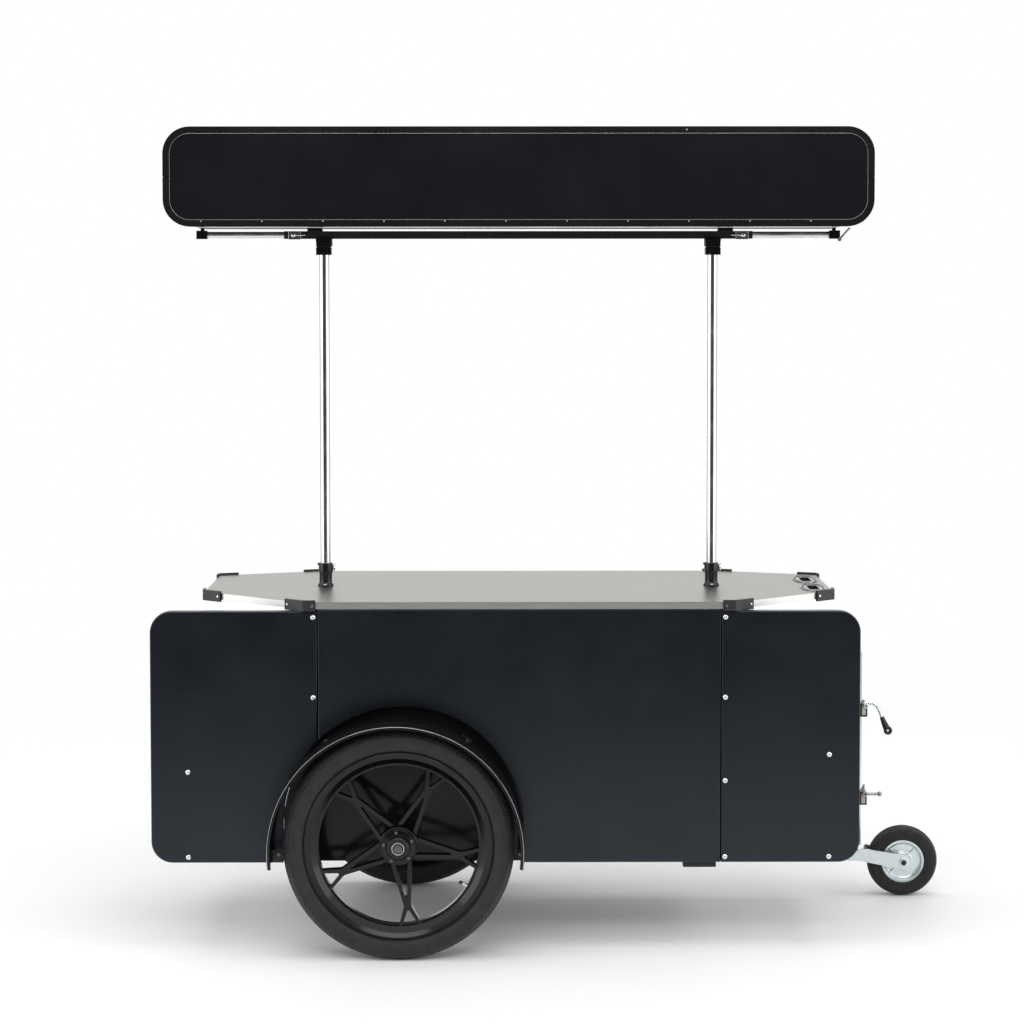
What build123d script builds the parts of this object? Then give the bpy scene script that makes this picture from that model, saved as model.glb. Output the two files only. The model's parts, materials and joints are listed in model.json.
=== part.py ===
"""Push vending cart: a wheeled steel counter with a worktop, a sign on two sliding posts and a jockey wheel.

Millimetres, +Z up. X runs along the counter, -Y faces the customer, +Y faces the seller. The origin is on the
ground under the middle of the overall box. Each sub-part is written to parts/NODE.step.
"""
import math
import os

from build123d import *

# ---- driving dimensions -------------------------------------------------------------------------------------
MIDDLE_X = -114.0  # middle of the counter, the posts and the sign
POST_Y = 49.0  # plane of the two posts
POST_HALF_SPAN = 531.0
POST_R = 14.25
POST_WALL = 1.5
GUIDE_R = POST_R + 3.0
POST_BOTTOM_Z = 770.0
RUNNING = 0.05  # radial clearance of a shaft in its hole

FACE_Y = 296.0  # outer face of the front and rear panels, either side of the middle
FRAME_Y = 271.0  # outer face of the frame tubes
SHEET = 2.0  # sheet steel of the panels
BEND_R = 4.0  # outer radius of a folded edge
BODY_BOTTOM_Z = 226.0
COUNTER_TOP_Z = 916.0
COUNTER_RIM = 18.5
FRAME_TOP_Z = COUNTER_TOP_Z - COUNTER_RIM
SEAM_HALF_SPAN = 530.0  # joints between the middle panel and the two wings
SEAM_GAP = 1.5
WING_TOP_Z = 892.0
WING_LEFT_X = -1083.0
WING_RIGHT_X = 782.0
WING_CORNER_R = 57.0

TUBE = 30.0  # square frame tube
TUBE_WALL = 2.0
CORE_HALF = 556.0  # outer faces of the end frames of the core, either side of the middle
FLOOR_Z = 322.0
SHELF_Z = 602.0
DOOR_LEFT_X = -87.0

WHEEL_X = -427.0
WHEEL_R = 300.0
TRACK_HALF = 401.0
RIM_FLANGE_R = 243.5
RIM_OPENING_R = 207.0
HUB_R = 50.0
AXLE_R = 10.0
SPOKES = 5
SPOKE_START_DEG = 62.0
ARCH_X = -421.0
ARCH_Z = 325.0
ARCH_R = 315.0
FENDER_X = -434.0
FENDER_Z = 285.0
FENDER_R = 330.0
FENDER_OUTER_Y = 461.0
FENDER_INNER_Y = 316.0
FENDER_HALF_DEG = 97.0

JOCKEY_X = 842.0
JOCKEY_Y = 264.0
JOCKEY_TRAIL = 141.0
JOCKEY_R = 100.0
STEM_R = 24.0
CLAMP_Z = (266.0, 518.5)
CLAMP_HEIGHT = 37.0

SIGN_LENGTH = 1890.0
SIGN_BOTTOM_Z = 1900.0
SIGN_TOP_Z = 2165.0
SIGN_CORNER_R = 72.0
SIGN_HALF_DEPTH = 200.0
TRIM_WIDTH = 18.0
RAIL_BOTTOM_Z = 1870.0
RAIL = 21.0

NEAR = -1  # the customer's side
FAR = 1  # the seller's side
SIDES = (NEAR, FAR)
LEFT_RIGHT = (-1, 1)


# ---- shared shapes ------------------------------------------------------------------------------------------
def block(x, y, z):
    """A box from three (low, high) pairs."""
    size = [high - low for low, high in (x, y, z)]
    middle = [(low + high) / 2 for low, high in (x, y, z)]
    return Pos(*middle) * Box(*size)


def rod(start, end, radius):
    """A round bar between two points."""
    a = Vector(*start)
    b = Vector(*end)
    return extrude(Plane(origin=a, z_dir=b - a) * Circle(radius), amount=(b - a).length)


def pipe(start, end, outer, inner):
    return rod(start, end, outer) - rod(start, end, inner)


def join(shapes):
    """All shapes fused into one."""
    shapes = list(shapes)
    return shapes[0].fuse(*shapes[1:]) if len(shapes) > 1 else shapes[0]


def group(shapes):
    """Separate solids that share one node."""
    return Compound([solid for shape in shapes for solid in shape.solids()])


def upright(sketch, y_low, y_high):
    """A sketch drawn in X and Z, extruded along Y."""
    plane = Plane(origin=(0, y_high, 0), x_dir=(1, 0, 0), z_dir=(0, -1, 0))
    return extrude(plane * sketch, amount=y_high - y_low)


def turned(points, x, z, direction):
    """A section of (distance along the axle, radius) points, turned about a line along Y."""
    plane = Plane(origin=(x, 0, z), x_dir=(0, direction, 0), z_dir=(direction, 0, 0))
    face = plane * make_face(Polyline(*points, close=True))
    return revolve(face, Axis((x, 0, z), (0, 1, 0)))


def both_sides(side, near_low, near_high):
    """The Y pair for two distances from the middle on one side."""
    ends = (side * near_low, side * near_high)
    return min(ends), max(ends)


def square_tube(axis, low, high, across, size=TUBE, wall=TUBE_WALL):
    """A hollow square tube along X, Y or Z; across is its middle on the other two axes, in X, Y, Z order."""
    spans = [(c - size / 2, c + size / 2) for c in across]
    bores = [(c - size / 2 + wall, c + size / 2 - wall) for c in across]
    place = "XYZ".index(axis)
    spans.insert(place, (low, high))
    bores.insert(place, (low, high))
    return block(*spans) - block(*bores)


def tray(outline, y_outer, y_back, wall=SHEET, bend=BEND_R):
    """A folded sheet panel: a skin at y_outer with edges turned back to y_back."""
    way = 1 if y_back > y_outer else -1
    outer = upright(outline, min(y_outer, y_back), max(y_outer, y_back))
    skin = outer.faces().sort_by(Axis.Y)[0 if way > 0 else -1]
    outer = fillet(skin.edges(), bend)
    inside = offset(outline, -wall, kind=Kind.INTERSECTION)
    y_skin = y_outer + way * wall
    hollow = upright(inside, min(y_skin, y_back), max(y_skin, y_back))
    floor = hollow.faces().sort_by(Axis.Y)[0 if way > 0 else -1]
    return outer - fillet(floor.edges(), bend - wall)


def rectangle(x, z):
    return Pos((x[0] + x[1]) / 2, (z[0] + z[1]) / 2) * Rectangle(x[1] - x[0], z[1] - z[0])


def arch(radius):
    """The wheel opening: a half disc on straight sides that run below the body."""
    sides = rectangle((ARCH_X - radius, ARCH_X + radius), (BODY_BOTTOM_Z - 100, ARCH_Z))
    return Pos(ARCH_X, ARCH_Z) * Circle(radius) + sides


# ---- frame --------------------------------------------------------------------------------------------------
POST_X = [MIDDLE_X + way * POST_HALF_SPAN for way in LEFT_RIGHT]
SEAM_X = [MIDDLE_X + way * SEAM_HALF_SPAN for way in LEFT_RIGHT]
CORNER_X = [MIDDLE_X + way * (CORE_HALF - TUBE / 2) for way in LEFT_RIGHT]
CORE_X = [MIDDLE_X + way * CORE_HALF for way in LEFT_RIGHT]
RAIL_Y = FRAME_Y - TUBE / 2
MID_POST_X = DOOR_LEFT_X - 3.0
END_LEFT_X = -985.0  # upright of the left end frame
END_RIGHT_X = 701.0
END_LEFT_Z = 467.0
END_RIGHT_Z = 512.0
END_LOW_Z = BODY_BOTTOM_Z + TUBE / 2
PLATE_X = (800.0, 806.0)
SCREW_R = 3.0

NEAR_SCREWS = [(CORNER_X[0], z) for z in (876.0, 664.0)]
NEAR_SCREWS += [(CORNER_X[1], z) for z in (876.0, 664.0, 443.0, 241.0)]
NEAR_SCREWS += [(END_LEFT_X, z) for z in (END_LEFT_Z, END_LOW_Z)]
NEAR_SCREWS += [(END_RIGHT_X, z) for z in (END_RIGHT_Z, END_LOW_Z)]
FAR_SCREWS = [(CORNER_X[0], z) for z in (876.0, 664.0)]
FAR_SCREWS += [(MID_POST_X - 9.0, z) for z in (664.0, 443.0)]


def screw_holes(reach):
    near = [rod((x, -FRAME_Y - reach, z), (x, -FRAME_Y + reach, z), SCREW_R) for x, z in NEAR_SCREWS]
    far = [rod((x, FRAME_Y - reach, z), (x, FRAME_Y + reach, z), SCREW_R) for x, z in FAR_SCREWS]
    return near + far


def chassis_frame():
    low_z = BODY_BOTTOM_Z + TUBE / 2
    top_z = FRAME_TOP_Z - TUBE / 2
    tubes = []
    for side in SIDES:
        y = side * RAIL_Y
        tubes.append(square_tube("X", CORE_X[0], CORE_X[1], (y, low_z)))
        tubes.append(square_tube("X", CORE_X[0], CORE_X[1], (y, top_z)))
        for x in CORNER_X:
            tubes.append(square_tube("Z", BODY_BOTTOM_Z + TUBE, FRAME_TOP_Z - TUBE, (x, y)))
    tubes.append(square_tube("Z", BODY_BOTTOM_Z + TUBE, FRAME_TOP_Z - TUBE, (MID_POST_X, RAIL_Y)))
    inner = RAIL_Y - TUBE / 2
    for x in CORNER_X:
        for z in (low_z, FLOOR_Z - TUBE / 2):
            tubes.append(square_tube("Y", -inner, inner, (x, z)))
        for z in (SHELF_Z - TUBE / 2, top_z):  # these stop on either side of the post guide
            tubes.append(square_tube("Y", -inner, POST_Y - GUIDE_R, (x, z)))
            tubes.append(square_tube("Y", POST_Y + GUIDE_R, inner, (x, z)))
    tubes.append(square_tube("Y", -inner, inner, (MID_POST_X, low_z)))
    beam_bottom = WHEEL_R - 22.0
    for side in SIDES:
        y = both_sides(side, inner, FRAME_Y)
        tubes.append(block((WHEEL_X - 20, WHEEL_X + 20), y, (BODY_BOTTOM_Z + TUBE, beam_bottom)))
    return join(tubes) - join(screw_holes(6.0))


def end_frame(core_x, upright_x, height_z, far_end_x):
    """A low bolt-on frame behind a wing: a hoop on each side and two cross tubes."""
    way = 1 if upright_x > core_x else -1
    end_x = upright_x + way * TUBE / 2
    tubes = []
    for side, reach in ((NEAR, end_x), (FAR, far_end_x)):
        y = side * RAIL_Y
        for z in (END_LOW_Z, height_z):
            tubes.append(square_tube("X", min(core_x, reach), max(core_x, reach), (y, z)))
        span = (END_LOW_Z + TUBE / 2, height_z - TUBE / 2)
        tubes.append(square_tube("Z", span[0], span[1], (upright_x, y)))
    inner = RAIL_Y - TUBE / 2
    for z in (END_LOW_Z, height_z):
        tubes.append(square_tube("Y", -inner, inner, (upright_x, z)))
    return join(tubes) - join(screw_holes(6.0))


def frame_parts():
    parts = {"chassis_frame": chassis_frame()}
    skin_left = CORE_X[0] - SHEET
    skin_right = CORE_X[1] + SHEET
    parts["end_frame_left"] = end_frame(skin_left, END_LEFT_X, END_LEFT_Z, END_LEFT_X - TUBE / 2)
    parts["end_frame_right"] = end_frame(skin_right, END_RIGHT_X, END_RIGHT_Z, PLATE_X[0])
    span_x = (CORNER_X[0] + TUBE / 2, CORNER_X[1] - TUBE / 2)
    inner = RAIL_Y - TUBE / 2
    boards = [block(span_x, (-inner, inner), (z, z + SHEET)) for z in (FLOOR_Z, SHELF_Z)]
    over_rails = [block(CORE_X, (-inner, inner), (z, z + SHEET)) for z in (FLOOR_Z, SHELF_Z)]
    guides = [rod((x, POST_Y, FLOOR_Z - 1), (x, POST_Y, SHELF_Z + 9), POST_R + 4) for x in POST_X]
    parts["inner_shelves"] = group([a + b - join(guides) for a, b in zip(boards, over_rails)])
    for name, low, high in (
        ("end_panel_left", skin_left, CORE_X[0]),
        ("end_panel_right", CORE_X[1], skin_right),
    ):
        parts[name] = block((low, high), (-FRAME_Y, FRAME_Y), (BODY_BOTTOM_Z, FRAME_TOP_Z))
    foot_x = (319.0, 406.0)
    parts["foot_block"] = block(foot_x, (-FRAME_Y, -FRAME_Y + TUBE), (BODY_BOTTOM_Z - 19, BODY_BOTTOM_Z))
    return parts


# ---- panels -------------------------------------------------------------------------------------------------
def wing_outline(x_seam, x_end):
    """A wing: square at the seam, rounded at its two free corners."""
    shape = rectangle((min(x_seam, x_end), max(x_seam, x_end)), (BODY_BOTTOM_Z, WING_TOP_Z))
    free = shape.vertices().filter_by(lambda v: abs(v.X - x_end) < 1)
    return fillet(free, WING_CORNER_R)


def panel_parts():
    gap = SEAM_GAP / 2
    hole = arch(ARCH_R)
    left = wing_outline(SEAM_X[0] - gap, WING_LEFT_X) - hole
    right = wing_outline(SEAM_X[1] + gap, WING_RIGHT_X)
    middle_z = (BODY_BOTTOM_Z, FRAME_TOP_Z - 0.5)
    middle = rectangle((SEAM_X[0] + gap, SEAM_X[1] - gap), middle_z) - hole
    lower = rectangle((CORE_X[0], DOOR_LEFT_X - 3), middle_z)
    rear = lower + rectangle((CORE_X[0], CORE_X[1]), (864.0, middle_z[1])) - hole
    holes = join(screw_holes(30.0))
    parts = {
        "front_panel_left": tray(left, -FACE_Y, -FRAME_Y) - holes,
        "front_panel_middle": tray(middle, -FACE_Y, -FRAME_Y) - holes,
        "front_panel_right": tray(right, -FACE_Y, -FRAME_Y) - holes,
        "rear_panel": tray(rear, FACE_Y, FRAME_Y) - holes,
    }
    well = arch(ARCH_R - 0.5) & rectangle((-900.0, 0.0), (BODY_BOTTOM_Z, 700.0))
    plates = []
    for side in SIDES:
        y = both_sides(side, FRAME_Y, FRAME_Y + SHEET)
        axle_hole = rod((WHEEL_X, y[0] - 1, WHEEL_R), (WHEEL_X, y[1] + 1, WHEEL_R), 15.0)
        plates.append(upright(well, *y) - axle_hole)
    parts["wheel_well_panels"] = group(plates)
    return parts


def panel_screws():
    """Dome-headed screws through the panels into the frame."""
    head_r = 7.0
    dome = Pos(0, 0, -4.0) * Sphere(8.0) & Pos(0, 0, 2.5) * Cylinder(head_r, 5.0)
    screw = dome + Pos(0, 0, -13.0) * Cylinder(SCREW_R - 0.1, 26.0)
    near = [Pos(x, -FACE_Y, z) * Rot(90, 0, 0) * screw for x, z in NEAR_SCREWS]
    far = [Pos(x, FACE_Y, z) * Rot(-90, 0, 0) * screw for x, z in FAR_SCREWS]
    return group(near + far)


# ---- worktop ------------------------------------------------------------------------------------------------
TOP_CORNERS = [  # half of the worktop's outline, from the middle: the near chamfer is deeper than the far one
    (565.0, -296.0, 31.0, 63.0),  # x, y, bumper length on the side before the corner, and after it
    (850.0, -66.0, 63.0, 31.0),
    (850.0, 294.0, 31.0, 55.0),
    (565.0, 397.0, 55.0, 31.0),
]
BUMPER = 6.5  # wall of a corner bumper
BUMPER_BOTTOM_Z = 892.5
BUMPER_TOP_Z = 921.5
GRIP_X = 691.0
GRIP_Y = (-3.0, 178.0)
SLOT = (28.0, 97.0)


def top_points():
    right = [(MIDDLE_X + x, y) for x, y, _, _ in TOP_CORNERS]
    left = [(MIDDLE_X - x, y) for x, y, _, _ in reversed(TOP_CORNERS)]
    return right + left


def top_face():
    return make_face(Polyline(*top_points(), close=True))


def slot_cutters(grow, z_low, z_high):
    sketch = RectangleRounded(SLOT[0] + 2 * grow, SLOT[1] + 2 * grow, 5.0 + grow)
    return [Pos(GRIP_X, y, z_low) * extrude(sketch, amount=z_high - z_low) for y in GRIP_Y]


def bumper(corner, before, after):
    """A plastic angle round one corner of the worktop: corner, then a point on each of its two edges."""
    a, b, c = (Vector(*p) for p in (before, corner, after))
    line = Polyline((a.X, a.Y), (b.X, b.Y), (c.X, c.Y))
    middle = Vector(MIDDLE_X, 50.0)
    out_a = Vector(b.Y - a.Y, a.X - b.X).normalized()
    if out_a.dot(b - middle) < 0:
        out_a = out_a * -1
    out_c = Vector(c.Y - b.Y, b.X - c.X).normalized()
    if out_c.dot(b - middle) < 0:
        out_c = out_c * -1
    tip = b + (out_a + out_c) * (BUMPER / (1 + out_a.dot(out_c)))
    far_a = a + out_a * BUMPER
    far_c = c + out_c * BUMPER
    points = [a, b, c, far_c, tip, far_a]
    face = make_face(Polyline(*[(p.X, p.Y) for p in points], close=True))
    solid = Pos(0, 0, BUMPER_BOTTOM_Z) * extrude(face, amount=BUMPER_TOP_Z - BUMPER_BOTTOM_Z)
    corner_edge = solid.edges().filter_by(Axis.Z).sort_by(lambda e: (e.center() - tip).length)[0]
    solid = fillet([corner_edge], 8.0)
    screws = []
    for point, out, along in ((a, out_a, b - a), (c, out_c, b - c)):
        spot = point + along.normalized() * 9.0
        z = COUNTER_TOP_Z - COUNTER_RIM / 2
        start = Vector(spot.X, spot.Y, z) + out * 1.0
        end = Vector(spot.X, spot.Y, z) + out * (BUMPER + 1.0)
        screws.append(rod(start, end, 3.2))
    return solid, screws, line


def worktop_parts():
    top = top_face()
    rim = Pos(0, 0, FRAME_TOP_Z) * extrude(top, amount=COUNTER_RIM)
    sheet = 1.5
    inner = offset(top, -sheet, kind=Kind.INTERSECTION)
    room = Pos(0, 0, FRAME_TOP_Z) * extrude(inner, amount=COUNTER_RIM - sheet)
    z = (FRAME_TOP_Z - 1, COUNTER_TOP_Z + 1)
    post_holes = [rod((x, POST_Y, z[0]), (x, POST_Y, z[1]), POST_R + 4) for x in POST_X]
    cuts = join(slot_cutters(3.0, 850.0, 950.0) + post_holes)
    bumpers = []
    screws = []
    points = top_points()
    lengths = [pair for _, _, *pair in TOP_CORNERS]
    lengths += [pair[::-1] for pair in reversed(lengths)]
    for i, corner in enumerate(points):
        ends = []
        for other, length in zip((points[i - 1], points[(i + 1) % len(points)]), lengths[i]):
            along = (Vector(*other) - Vector(*corner)).normalized()
            ends.append((corner[0] + along.X * length, corner[1] + along.Y * length))
        solid, fixings, _ = bumper(corner, ends[0], ends[1])
        cutters = join(fixings)
        bumpers.append(solid - cutters)
        screws += fixings
    bezel = extrude(Ellipse(35.0, 80.0), amount=3.0)
    bezel = fillet(bezel.edges().sort_by(Axis.Z)[-1:], 2.0)
    bezels = [Pos(GRIP_X, y, COUNTER_TOP_Z) * bezel for y in GRIP_Y]
    slots = join(slot_cutters(0.0, 880.0, 950.0))
    cup_bottom = FRAME_TOP_Z + 0.5
    cups = slot_cutters(2.5, cup_bottom, COUNTER_TOP_Z)
    hollow = join(slot_cutters(0.0, cup_bottom + 2.5, 950.0))
    return {
        "worktop": rim - room - cuts,
        "worktop_core": room - cuts,
        "corner_bumpers": group(bumpers),
        "bumper_screws": group(screws),
        "grip_bezels": group([b - slots for b in bezels]),
        "grip_cups": group([c - hollow for c in cups]),
    }


# ---- wheels -------------------------------------------------------------------------------------------------
BEARING_R = 23.5
BEARING_WIDTH = 14.0
BEARING_AT = 28.0  # from the wheel's middle plane to a bearing's inner face


def spoke_sketch():
    """One twin spoke along +X from the hub to the rim: two bars that meet, then a short fork."""
    hub_half = 23.0
    meet = 163.0
    rim_half = 26.0
    bar = 12.0
    reach = RIM_OPENING_R + 4.0
    pieces = []
    for way in (-1, 1):
        ends = ((HUB_R - 12, way * hub_half), (meet, way * 4.0), (reach, way * rim_half))
        for (x0, y0), (x1, y1) in zip(ends, ends[1:]):
            length = math.hypot(x1 - x0, y1 - y0)
            angle = math.degrees(math.atan2(y1 - y0, x1 - x0))
            place = Pos((x0 + x1) / 2, (y0 + y1) / 2) * Rot(0, 0, angle)
            pieces.append(place * SlotOverall(length + bar, bar))
    return pieces[0] + pieces[1:]


def road_wheel(side):
    """The cast wheel: rim, five twin spokes and hub, with the outer face on the given side."""
    z = WHEEL_R
    rim_points = [
        (-30, RIM_FLANGE_R), (-24, RIM_FLANGE_R), (-22, 229), (-13, 229), (-9, 219), (9, 219), (13, 229),
        (22, 229), (24, RIM_FLANGE_R), (30, RIM_FLANGE_R), (31, 225), (27, 214), (16, RIM_OPENING_R + 2),
        (10, RIM_OPENING_R), (-10, RIM_OPENING_R), (-16, RIM_OPENING_R + 2), (-27, 214), (-31, 225),
    ]
    rim = turned(rim_points, WHEEL_X, z, side)
    hub_points = [
        (-52, BEARING_R), (-52, 36), (-30, 42), (-20, HUB_R), (38, HUB_R), (41, 47), (42, 31), (59, 29),
        (62, 26), (62, 17), (BEARING_AT + BEARING_WIDTH, 17), (BEARING_AT + BEARING_WIDTH, BEARING_R),
    ]
    hub = turned(hub_points, WHEEL_X, z, side)
    spokes = []
    y = both_sides(side, TRACK_HALF - 12.0, TRACK_HALF + 13.0)
    for i in range(SPOKES):
        sketch = Pos(WHEEL_X, z) * Rot(0, 0, SPOKE_START_DEG + 360 / SPOKES * i) * spoke_sketch()
        spokes.append(upright(sketch, *y))
    placed = [Pos(0, side * TRACK_HALF, 0) * shape for shape in (rim, hub)]
    bore = rod((WHEEL_X, side * (TRACK_HALF - 52), z), (WHEEL_X, side * (TRACK_HALF + 42), z), BEARING_R)
    outside = pipe((WHEEL_X, y[0] - 1, z), (WHEEL_X, y[1] + 1, z), 260.0, RIM_OPENING_R + 3)
    return join(placed + [s - outside for s in spokes]) - bore


def tyre(side):
    """A hollow tyre with a rounded tread and beads that sit on the rim."""
    points = [
        (-21.8, 229.2), (-23.6, 243), (-24, 246), (-29, 248), (-33, 255), (-35, 266), (-33.5, 280),
        (-28, 290), (-16, 297.5), (0, WHEEL_R), (16, 297.5), (28, 290), (33.5, 280), (35, 266), (33, 255),
        (29, 248), (24, 246), (23.6, 243), (21.8, 229.2), (14, 229.2), (17, 243), (26, 256), (27.5, 267),
        (24, 280), (14, 288), (0, 290), (-14, 288), (-24, 280), (-27.5, 267), (-26, 256), (-17, 243), (-14, 229.2),
    ]
    return Pos(0, side * TRACK_HALF, 0) * turned(points, WHEEL_X, WHEEL_R, side)


def bearings(side):
    rings = []
    for at in (-BEARING_AT - BEARING_WIDTH, BEARING_AT):
        y = [side * (TRACK_HALF + at), side * (TRACK_HALF + at + BEARING_WIDTH)]
        rings.append(pipe((WHEEL_X, y[0], WHEEL_R), (WHEEL_X, y[1], WHEEL_R), BEARING_R, AXLE_R + RUNNING))
    return group(rings)


def axle_parts():
    beam_y = FRAME_Y
    shell = block((WHEEL_X - 20, WHEEL_X + 20), (-beam_y, beam_y), (WHEEL_R - 22, WHEEL_R + 22))
    bore = block((WHEEL_X - 17, WHEEL_X + 17), (-beam_y + 12, beam_y - 12), (WHEEL_R - 19, WHEEL_R + 19))
    beam = shell - bore
    nuts = []
    for side in SIDES:
        inner = side * beam_y
        tip = side * (TRACK_HALF + 60)
        seat = side * (TRACK_HALF - BEARING_AT - BEARING_WIDTH - 0.3)
        beam += rod((WHEEL_X, inner, WHEEL_R), (WHEEL_X, tip, WHEEL_R), AXLE_R)
        beam += rod((WHEEL_X, inner, WHEEL_R), (WHEEL_X, seat, WHEEL_R), 14.0)
        nut_y = side * (TRACK_HALF + BEARING_AT + BEARING_WIDTH + 0.3)
        plane = Plane(origin=(WHEEL_X, nut_y, WHEEL_R), z_dir=(0, side, 0))
        nut = extrude(plane * RegularPolygon(14.5, 6), amount=19.5)
        nuts.append(nut - rod((WHEEL_X, nut_y, WHEEL_R), (WHEEL_X, side * (TRACK_HALF + 70), WHEEL_R), AXLE_R))
    return {"axle_beam": beam, "axle_nuts": group(nuts)}


# ---- fenders ------------------------------------------------------------------------------------------------
FENDER_WALL = 3.0
FENDER_BOLT_DEG = 34.0
FENDER_BOLT_Y = 346.0
STAY_Y = 352.0


def fender(side):
    """A rolled mudguard: a thin arc with a bead along its outer edge and a small lip along its inner one."""
    inner_r = FENDER_R - FENDER_WALL
    lip = 8.0
    points = [
        (FENDER_INNER_Y, inner_r - lip), (FENDER_INNER_Y, FENDER_R), (FENDER_OUTER_Y - 5, FENDER_R),
        (FENDER_OUTER_Y - 5, inner_r), (FENDER_INNER_Y + FENDER_WALL, inner_r),
        (FENDER_INNER_Y + FENDER_WALL, inner_r - lip),
    ]
    plane = Plane(origin=(FENDER_X, 0, FENDER_Z), x_dir=(0, side, 0), z_dir=(side, 0, 0))
    profile = plane * make_face(Polyline(*points, close=True))
    bead = plane * (Pos(FENDER_OUTER_Y - 5, FENDER_R - 3) * Circle(5.0))
    axis = Axis((FENDER_X, 0, FENDER_Z), (0, 1, 0))
    halves = [revolve(section, axis, way * FENDER_HALF_DEG) for section in (profile, bead) for way in (-1, 1)]
    return join(halves)


def fender_point(angle_deg, radius):
    """A point at an angle from straight up, towards +X."""
    angle = math.radians(angle_deg)
    return FENDER_X + radius * math.sin(angle), FENDER_Z + radius * math.cos(angle)


def fender_fixings():
    brackets = []
    bolts = []
    strap_r = FENDER_R - FENDER_WALL
    for side in SIDES:
        for way in LEFT_RIGHT:
            x, z = fender_point(way * FENDER_BOLT_DEG, strap_r - 2.0)
            y = both_sides(side, FRAME_Y + SHEET, 360.0)
            strap = Rot(0, way * FENDER_BOLT_DEG, 0) * Box(30.0, y[1] - y[0], 4.0)
            brackets.append(Pos(x, (y[0] + y[1]) / 2, z) * strap)
            bolt = Cylinder(6.0, 4.0) + Pos(0, 0, -7.0) * Cylinder(3.5, 12.0)
            x, z = fender_point(way * FENDER_BOLT_DEG, FENDER_R + 2.5)
            bolts.append(Pos(x, side * FENDER_BOLT_Y, z) * Rot(0, way * FENDER_BOLT_DEG, 0) * bolt)
            stay_x = ARCH_X + way * (ARCH_R - 9.0)
            tip_x = FENDER_X + way * (strap_r - 1.5)
            stay_z = (251.0, 273.0)
            stay = block((stay_x - 2, stay_x + 2), both_sides(side, FRAME_Y + SHEET, STAY_Y), stay_z)
            tab = (min(stay_x - 2, tip_x), max(stay_x + 2, tip_x))
            brackets.append(stay + block(tab, both_sides(side, STAY_Y - 4, STAY_Y), stay_z))
            middle = (tab[0] + tab[1]) / 2
            z = sum(stay_z) / 2
            bolts.append(rod((middle, side * (STAY_Y - 6), z), (middle, side * (STAY_Y + 5), z), 5.0))
    fenders = {}
    for name, side in (("fender_near", NEAR), ("fender_far", FAR)):
        own = [shape for shape in bolts + brackets if side * shape.center().Y > 0]
        fenders[name] = fender(side) - join(own)
    holes = join(bolts)
    return {
        **fenders,
        "fender_brackets": group([b - holes for b in brackets]),
        "fender_bolts": group(bolts),
    }


# ---- jockey wheel -------------------------------------------------------------------------------------------
FORK_HALF = 30.0
FORK_PLATE = 4.0
PIN_R = 8.0
STEM_BOTTOM_Z = 150.0
COLLAR_Z = (139.0, 150.0)
COLLAR_R = 41.0
STEM_TRAVEL = 100.0
HEAD_Z = (104.0, 138.5)
PIVOT_X = 871.0  # pivots of the two clamp levers
LEVER_Y = 222.0
LOWER_PIVOT_Z = 299.0
UPPER_PIVOT_Z = 551.0
JOCKEY_AXLE_R = 6.0


def jockey_fork():
    """A round head that turns on the stem's pin, with a tapered arm on each side of the wheel."""
    axle_x = JOCKEY_X + JOCKEY_TRAIL
    outline = [
        (822.0, 109.0), (822.0, HEAD_Z[1]), (876.0, HEAD_Z[1]), (986.0, 120.5), (979.0, 79.5), (876.0, 101.0),
    ]
    arm = make_face(Polyline(*outline, close=True)) + Pos(axle_x, JOCKEY_R) * Circle(21.0)
    arm -= Pos(axle_x, JOCKEY_R) * Circle(JOCKEY_AXLE_R)
    fork = rod((JOCKEY_X, JOCKEY_Y, HEAD_Z[0]), (JOCKEY_X, JOCKEY_Y, HEAD_Z[1]), FORK_HALF)
    for way in SIDES:
        y = sorted((JOCKEY_Y + way * FORK_HALF, JOCKEY_Y + way * (FORK_HALF + FORK_PLATE)))
        fork += upright(arm, y[0], y[1])
    bore = rod((JOCKEY_X, JOCKEY_Y, 90.0), (JOCKEY_X, JOCKEY_Y, 160.0), PIN_R + RUNNING)
    web = block((822.0, 868.0), (JOCKEY_Y - FORK_HALF, JOCKEY_Y + FORK_HALF), (HEAD_Z[1] - 6, HEAD_Z[1]))
    return fork + web - bore


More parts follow.
